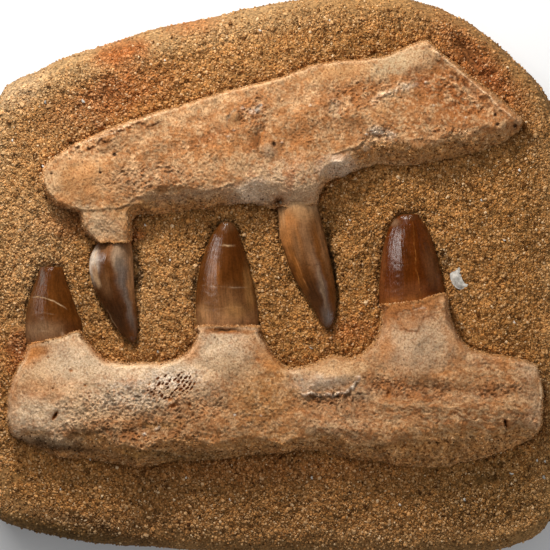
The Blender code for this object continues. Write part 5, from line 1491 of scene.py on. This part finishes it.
def make_slab():
    """The block of rock, with its bed for the bones and a share of sand at each place."""
    loop = smooth_loop(SLAB_PLAN, SLAB_OUTLINE_STEP)
    low, high = loop.min(axis=0), loop.max(axis=0)
    loop = (loop - (high + low) / 2) * np.array((SLAB_LENGTH, SLAB_WIDTH)) / (high - low)
    count, side = len(loop), slab_side(loop)
    shoulder = np.column_stack([side[-1, :, :2], np.ones(count)])
    plan, faces, edge = fill_plan(shoulder, FACE_TRIANGLES)
    first = len(plan)
    relief = np.column_stack([plan, face_height(*plan.T)])
    places = np.vstack([relief, side[:-1].reshape(-1, 3)])
    rings = [first + n * count + np.arange(count) for n in range(SIDE_RINGS - 1)] + [edge]
    faces += [face[::-1] for face in ring_faces(rings)] + [rings[0].tolist()]

    # lumps: upwards on the face, outwards on the side
    height = places[:, 2]
    side_share = ease((SIDE_BELOW - height) / SIDE_BLEND)
    lumps = layers(places, SLAB_LUMPS) * LUMP_GAIN - LUMP_ROOM * side_share
    lumps *= ease((height - BACK_FLAT[0]) / BACK_FLAT[1])
    outward = places - np.array(SLAB_HEART)
    outward[:, 2] = np.where(side_share > 0, outward[:, 2], 0.0) * 0.5
    outward /= np.maximum(np.linalg.norm(outward, axis=1), 1.0)[:, None]
    up = np.array([0.0, 0.0, 1.0])
    direction = up * (1 - side_share)[:, None] + outward * side_share[:, None]
    places = places + direction * lumps[:, None]

    # beds and grooves round the bones and crowns, and the pits
    sand = np.ones(len(places))
    tops = places[:first]
    bones = [(upper_loop, GROOVE), (lower_loop, GROOVE)]
    for other, groove in bones + [(crown_outline(s), CROWN_GROOVE) for s in CROWNS.values()]:
        depth = read_edge(other, tops[:, 0], tops[:, 1])[0]
        tops[:, 2] -= groove * np.exp(-((depth + 0.3) / GROOVE_RUN) ** 2)
        tops[:, 2] -= BED_DEPTH * ease((depth - BED_RUN[0]) / BED_RUN[1])
        sand[:first] *= 1.0 - ease((depth + 0.5) / 0.5)
    pits = forms_at(SLAB_PITS, tops[:, 0], tops[:, 1])
    tops[:, 2] += pits
    sand[:first] *= 1.0 - ease((-pits - 0.5) / 0.8)
    sand *= ease((places[:, 2] - 1.0) / 3.0)

    # colours: dark sides, a rim of painted light, marks and the unevenness of sand
    x, y = places[:, 0], places[:, 1]
    colours = coat("sand", len(places))
    stain(colours, "dark_sand", 0.5 * side_share)
    from_rim = read_edge(np.column_stack([loop, np.ones(count)]), x, y)[0]
    from_rim += 3.0 * rumple(places, 12.0, 6.0)
    # the rim is painted paler, most at the upper left where the lamp stands: painted light
    pale = ease((RIM_PAINTED_LIGHT[0] - from_rim) / RIM_PAINTED_LIGHT[1]) * (1.0 - side_share)
    pale *= 0.35 + 0.65 * ease((y - 10.0) / 40.0) * ease((40.0 - x) / 60.0)
    stain(colours, "light_sand", 0.85 * pale)
    lay(colours, *wander(x, y, 5.0), SLAB_MARKS)
    colours *= (1.0 + layers(places, SLAB_TONE))[:, None]
    colours *= (1.0 + layers(places, GRAIN_TONE))[:, None]
    sand *= 1.0 - 0.6 * ease((11.0 - from_rim) / 8.0)
    piece = make_piece("sandstone_slab", places, faces, rock_finish, colours, sharp=False)
    store(piece, "sand", np.clip(sand, 0.0, 1.0))
    return outward_mesh(piece)


slab = make_slab()

# %% [markdown]
# ## Loose sand on the slab
# Sand is thousands of small grains, so it is made with Geometry Nodes: points are scattered
# over the slab where its "sand" share allows, a small faceted grain stands on each, and the
# instances are realized because an export drops them. Three sizes are used, as in real sand,
# and the coarse ones are rarer. The points take the slab's colour with them, and each grain
# gets a tone of its own. The small ones are eight-sided, which nobody can tell at that size.

# %% The scattering tree
FLAT_GRAIN, FULL_GRAIN = (0.75, 0.75, 0.55), (1.3, 1.2, 0.95)  # limits of a grain's shape
FULL_TURN = 6.28
GRAIN_INPUTS = {"Surface": "Geometry", "Grains per area": "Float", "Least distance": "Float",
                "Smallest radius": "Float", "Largest radius": "Float", "Lowest place": "Float",
                "Highest place": "Float", "Seed": "Int", "Finish": "Material"}


def arithmetic(tree, operation, first, second):
    """One step of arithmetic."""
    return node(tree, "ShaderNodeMath", {0: first, 1: second}, operation=operation).outputs[0]


def random_value(tree, kind, low, high, seed):
    """A random value of its own for each grain; where it is read depends on its kind."""
    place = 2 if kind == "FLOAT" else 0
    made = node(tree, "FunctionNodeRandomValue", {place: low, place + 1: high, "Seed": seed},
                data_type=kind)
    return made.outputs[place // 2]


def sand_tree(name, segments, rings):
    """Geometry nodes that scatter grains over a surface."""
    tree = bpy.data.node_groups.new(name, "GeometryNodeTree")
    tree.is_modifier = True
    for label, kind in GRAIN_INPUTS.items():
        tree.interface.new_socket(label, in_out="INPUT", socket_type="NodeSocket" + kind)
    tree.interface.new_socket("Grains", in_out="OUTPUT", socket_type="NodeSocketGeometry")
    given = node(tree, "NodeGroupInput").outputs
    share = node(tree, "GeometryNodeInputNamedAttribute", {"Name": "sand"}, data_type="FLOAT")
    place = node(tree, "GeometryNodeInputPosition").outputs["Position"]
    height = node(tree, "ShaderNodeSeparateXYZ", {"Vector": place}).outputs["Z"]
    above = arithmetic(tree, "GREATER_THAN", height, given["Lowest place"])
    below = arithmetic(tree, "LESS_THAN", height, given["Highest place"])
    band = arithmetic(tree, "MULTIPLY", above, below)
    scatter = node(tree, "GeometryNodeDistributePointsOnFaces",
                   {"Mesh": given["Surface"], "Distance Min": given["Least distance"],
                    "Density Max": given["Grains per area"], "Seed": given["Seed"],
                    "Density Factor": arithmetic(tree, "MULTIPLY", share.outputs["Attribute"],
                                                 band)},
                   distribute_method="POISSON")
    ball = node(tree, "GeometryNodeMeshUVSphere", {"Segments": segments, "Rings": rings,
                                                   "Radius": 1.0}).outputs["Mesh"]
    grain = node(tree, "GeometryNodeSetShadeSmooth", {"Geometry": ball, "Shade Smooth": False})
    size = random_value(tree, "FLOAT", given["Smallest radius"], given["Largest radius"], 1)
    shape = random_value(tree, "FLOAT_VECTOR", FLAT_GRAIN, FULL_GRAIN, 2)
    scale = node(tree, "ShaderNodeVectorMath", {0: shape, "Scale": size}, operation="SCALE")
    spin = random_value(tree, "FLOAT_VECTOR", (0.0,) * 3, (FULL_TURN,) * 3, 3)
    turn = node(tree, "FunctionNodeEulerToRotation", {"Euler": spin}).outputs["Rotation"]
    stand = node(tree, "GeometryNodeInstanceOnPoints",
                 {"Points": scatter.outputs["Points"], "Instance": grain.outputs["Geometry"],
                  "Rotation": turn, "Scale": scale.outputs["Vector"]})
    keep = node(tree, "GeometryNodeStoreNamedAttribute",
                {"Geometry": stand.outputs["Instances"], "Name": "tone",
                 "Value": random_value(tree, "FLOAT", 0.0, 1.0, 4)},
                data_type="FLOAT", domain="INSTANCE")
    real = node(tree, "GeometryNodeRealizeInstances", {"Geometry": keep.outputs["Geometry"]})
    dress = node(tree, "GeometryNodeSetMaterial", {"Geometry": real.outputs["Geometry"],
                                                   "Material": given["Finish"]})
    leave = node(tree, "NodeGroupOutput")
    tree.links.new(dress.outputs["Geometry"], leave.inputs["Grains"])
    return tree

# %% Run a tree on a piece
def scatter_sand(name, carrier, tree, values):
    """Run the scattering tree on a piece and keep the grains as a plain mesh."""
    work = add_object(name + "_work", carrier.data.copy())
    modifier = work.modifiers.new("sand", "NODES")
    modifier.node_group = tree
    for item in tree.interface.items_tree:
        if item.name in values:
            modifier[item.identifier] = values[item.name]
    held = work.evaluated_get(bpy.context.evaluated_depsgraph_get())
    data = bpy.data.meshes.new_from_object(held)
    data.name = name
    bpy.data.objects.remove(work, do_unlink=True)
    return add_mesh(name, data)

# %% Scatter the sand
fine_tree, coarse_tree = sand_tree("fine_sand", 4, 2), sand_tree("coarse_sand", 5, 3)
print("a tree has", len(fine_tree.nodes), "nodes and", len(GRAIN_INPUTS), "inputs")
TOP, SIDE, ALL = (29.5, 1000.0), (1.5, 29.5), (1.5, 1000.0)  # bands of height in mm
# carrier, tree, least distance, smallest and largest radius in mm, grains per square mm, band
SAND = {
    "fine_sand_a": (slab, fine_tree, 0.70, 0.32, 0.60, 1.8, TOP),
    "fine_sand_b": (slab, fine_tree, 0.70, 0.34, 0.66, 1.8, TOP),
    "medium_sand_a": (slab, coarse_tree, 1.25, 0.44, 0.72, 0.50, TOP),
    "medium_sand_b": (slab, coarse_tree, 1.35, 0.48, 0.80, 0.40, TOP),
    "coarse_sand": (slab, coarse_tree, 3.0, 0.75, 1.15, 0.05, TOP),
    "side_sand": (slab, coarse_tree, 1.1, 0.35, 0.70, 0.60, SIDE),
    "sand_on_upper_jaw": (upper_jaw, fine_tree, 0.62, 0.30, 0.58, 2.2, ALL),
    "sand_on_lower_jaw": (lower_jaw, fine_tree, 0.62, 0.30, 0.62, 2.2, ALL),
}
sands = []
for seed, (name, row) in enumerate(SAND.items()):
    carrier, tree, apart, smallest, largest, density, (low, high) = row
    sands.append(scatter_sand(name, carrier, tree, {
        "Grains per area": density / MM ** 2, "Least distance": apart * MM,
        "Smallest radius": smallest * MM, "Largest radius": largest * MM,
        "Lowest place": low * MM, "Highest place": high * MM,
        "Seed": seed, "Finish": grain_finish}))

# %% [markdown]
# ## Shell in the sand
# The sand holds bits of white shell, and one larger grey flake lies open between the rear
# tooth and the edge. A flake is a bent, flattened loft, thick in the middle and thin at its
# edge. The small bits are the same shape at other sizes, joined into one mesh, since nobody
# would lift them out one by one.

# %% Flakes of shell
shell_finish = mineral("shell", 0.5, 0.18, 0.08, 0.55)
FLAKE_STATIONS = 36
FLAKE_SIDES = 20
FLAKE_END = 1.04  # a little over 1, so that a flake ends in a small round
BIT_LIFT = 0.5  # shell stands this far over the rock


def flake(at_x, at_y, turn, length, breadth, thick, bend, level):
    """Points of one bent flake, ring after ring."""
    share = np.linspace(-1.0, 1.0, FLAKE_STATIONS)
    angle = np.linspace(0.0, 2 * math.pi, FLAKE_SIDES, endpoint=False)
    round_off = np.sqrt(np.clip(FLAKE_END - share ** 2, 0.0, 1.0))[:, None]
    across = breadth / 2 * round_off * np.cos(angle)
    across += (breadth * (share ** 2 - 0.5) * bend)[:, None]
    along = np.repeat((share * length / 2)[:, None], FLAKE_SIDES, axis=1)
    up = (thick / 2) * round_off * np.sin(angle)
    out, back = turned(across, along, -turn)
    return np.stack([at_x + out, at_y + back, level + up], axis=2).reshape(-1, 3)


def level_at(x, y):
    """Height of the face at one place."""
    return float(face_height(np.array([float(x)]), np.array([float(y)]))[0])

# %% The large flake
FLAKE_PLAN = (
    (70.7, 0.1, 1), (71.2, 1.4, 1), (73, 2.2, 1), (74.4, 3.5, 1), (74.9, 1.6, 1), (75.5, -1, 1),
    (76.7, -2.9, 1), (77.9, -3.4, 1), (76.7, -4.8, 1), (74.9, -5.4, 1), (72.9, -4.5, 1),
    (71.4, -2.6, 1),
)
FLAKE_TRIANGLES = 5000
FLAKE_STEP = 0.25  # between points of its outline
FLAKE_PLACE = (74.5, -0.5)  # where its height over the rock is taken
FLAKE_SINK = 1.2  # its underside is this far in the sand
flake_loop = smooth_loop(FLAKE_PLAN, FLAKE_STEP)
plan, faces, edge = fill_plan(flake_loop, FLAKE_TRIANGLES)
depth = read_edge(flake_loop, plan[:, 0], plan[:, 1])[0]
lift = level_at(*FLAKE_PLACE) + BIT_LIFT
surface = np.column_stack([plan, lift + 0.7 * ease(depth / 2.0)])
surface[:, 2] += 0.10 * rumple(surface, 1.2, 3.0)
places, faces = close_relief(surface, faces, edge, lift - FLAKE_SINK)
colours = coat("shell", len(places))
colours *= (0.80 + 0.5 * rumple(places, 1.5, 6.0))[:, None]
shell_flake = outward_mesh(make_piece("shell_flake", places, faces, shell_finish, colours))

# %% Bits of shell
SHELL_BITS = (
    # x, y, turn, length, breadth
    (-76.2, 70, 40, 1.9, 1), (-91.4, 69.6, 10, 1.6, 0.9), (-92.2, 44, 60, 1.4, 0.8),
    (-46.2, -30.4, 20, 1.2, 0.7), (15, -28.8, 60, 1.7, 0.6), (9.4, -66.8, 0, 1, 0.7),
    (6.6, -66, 0, 0.9, 0.7), (108.6, -80.8, 20, 1.7, 1.1), (95.4, -79.2, 80, 1.9, 0.7),
    (105.8, -74, 0, 1.2, 0.8), (109, -74.4, 0, 1.2, 0.9), (15.4, -80.8, 10, 1.3, 0.8),
    (-35, -80.8, 0, 0.9, 0.7), (-73.4, -73.6, 0, 0.9, 0.6), (96.6, -18.4, 50, 1.6, 1),
    (-51.4, 20.4, 30, 1.1, 0.7), (-41.4, 6.4, 10, 0.9, 0.7), (30.6, 22.4, 60, 1, 0.6),
    (83.4, 30.4, 20, 1.2, 0.7), (92.6, 14.4, 70, 1.1, 0.7), (76.6, -89.6, 10, 1.4, 0.9),
    (50.6, -91.6, 50, 1.1, 0.7), (-17.4, -89.6, 30, 1.2, 0.7), (-85.4, -85.6, 0, 1.1, 0.7),
    (-101.4, 18.4, 40, 1.2, 0.7), (-104.6, 54.4, 10, 1.3, 0.7), (-5.4, 98.4, 60, 1.2, 0.7),
    (22.6, 102.4, 15, 1.1, 0.7), (-43.4, 86.4, 40, 1, 0.7), (98.6, 42.4, 30, 1.2, 0.8),
)
BIT_THICKNESS = 0.9
BIT_BEND = 0.35
places = np.vstack([flake(x, y, turn, length, breadth, BIT_THICKNESS, BIT_BEND,
                          level_at(x, y) + BIT_LIFT)
                    for x, y, turn, length, breadth in SHELL_BITS])
points_each = FLAKE_STATIONS * FLAKE_SIDES
faces = [[bit * points_each + corner for corner in face] for bit in range(len(SHELL_BITS))
         for face in tube_faces(FLAKE_STATIONS, FLAKE_SIDES)]
colours = coat("shell", len(places))
colours *= (0.85 + 0.9 * rumple(places, 20.0, 6.0))[:, None]
shell_bits = outward_mesh(make_piece("shell_bits", places, faces, shell_finish, colours))

# %% [markdown]
# ## Floor, light and camera
# The slab lies on a plain white floor. One soft lamp stands low beyond the upper left corner,
# close enough for its light to fall off towards the lower right, which models the relief. Two
# lamps at the sides are weak: they are there for the highlights on the enamel. The big soft
# lamp and the sky are left out of reflections, which would otherwise veil the dark enamel. The
# camera looks straight down from far enough for the outlines to stay true.

# %% Floor
FLOOR_HALF = 3.0
FLOOR_DROP = 0.0002  # keeps the floor clear of the slab's flat back
floor_data = bpy.data.meshes.new("floor")
corners = ((-1, -1), (1, -1), (1, 1), (-1, 1))
floor_data.from_pydata([(x * FLOOR_HALF, y * FLOOR_HALF, -FLOOR_DROP) for x, y in corners], [],
                       [(0, 1, 2, 3)])
floor = add_object("floor", floor_data)
floor_finish, _, _ = new_material("floor_white", {"Base Color": (0.84, 0.84, 0.84, 1.0),
                                                  "Roughness": 0.8, "Specular IOR Level": 0.1})
floor_data.materials.append(floor_finish)
print("the floor is", 2 * FLOOR_HALF, "m wide")

# %% Light
AIM = Vector((0.0, 0.0, 0.036))
SKY_STRENGTH = 0.26
# place and size in metres, watts, colour
LAMPS = {
    "key_lamp": ((-0.16, 0.42, 0.30), (0.09, 0.08), 3.0, (1.0, 0.99, 0.97)),
    "soft_lamp": ((-0.30, 0.55, 0.75), (0.6, 0.6), 3.5, (1.0, 0.99, 0.97)),
    "left_lamp": ((-0.67, 0.15, 0.28), (0.22, 0.28), 3.0, (1.0, 0.98, 0.95)),
    "right_lamp": ((0.58, -0.28, 0.34), (0.3, 0.25), 1.0, (0.88, 0.94, 1.0)),
}
lamps = {}
for name, (place, size, watts, colour) in LAMPS.items():
    data = bpy.data.lights.new(name, "AREA")
    data.shape = "RECTANGLE"
    data.size, data.size_y = size
    data.energy = watts
    data.color = colour
    lamps[name] = add_object(name, data)
    lamps[name].location = place
    lamps[name].rotation_euler = (AIM - Vector(place)).to_track_quat("-Z", "Y").to_euler()
    lamps[name].visible_camera = False
lamps["soft_lamp"].visible_glossy = False
lamps["left_lamp"].visible_diffuse = False
world = bpy.data.worlds.new("studio")
bpy.context.scene.world = world
world.use_nodes = True
sky = world.node_tree.nodes["Background"].inputs
sky["Color"].default_value = (1.0, 1.0, 1.0, 1.0)
sky["Strength"].default_value = SKY_STRENGTH
world.cycles_visibility.glossy = False
bpy.context.scene.view_settings.view_transform = "Standard"
print(len(lamps), "lamps of", sum(row[2] for row in LAMPS.values()), "W in all")

# %% Camera
CAMERA_DISTANCE = 1.8
CAMERA_PLACE = (0.0006, 0.0004)
FRAME_WIDTH = 0.220  # what the frame spans at the height of the face
SENSOR = 36.0
camera_data = bpy.data.cameras.new("camera")
camera_data.sensor_width = SENSOR
camera_data.lens = SENSOR * CAMERA_DISTANCE / FRAME_WIDTH
camera = add_object("camera", camera_data)
camera.location = (*CAMERA_PLACE, AIM.z + CAMERA_DISTANCE)
bpy.context.scene.camera = camera
print("lens", round(camera_data.lens, 1), "mm")

# %% [markdown]
# ## Tie the pieces to the frame
# Every piece rides on the one body and stands for the solid that it replaces, which is hidden.

# %% Ride and replace
PIECES = (
    (slab, "sandy_matrix", "matrix_slab"), (upper_jaw, "fossil_bone", "upper_jaw_bone"),
    (lower_jaw, "fossil_bone", "lower_jaw_bone"), (shell_flake, "shell", "shell_fragment"),
    *((piece, "tooth_enamel", name) for name, piece in crowns.items()),
    *((piece, "sandy_matrix", None) for piece in sands), (shell_bits, "shell", None),
)
for piece, finish, solid in PIECES:
    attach(piece, "root")
    if solid:
        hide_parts(solid)
print(len(PIECES), "pieces ride on the root")
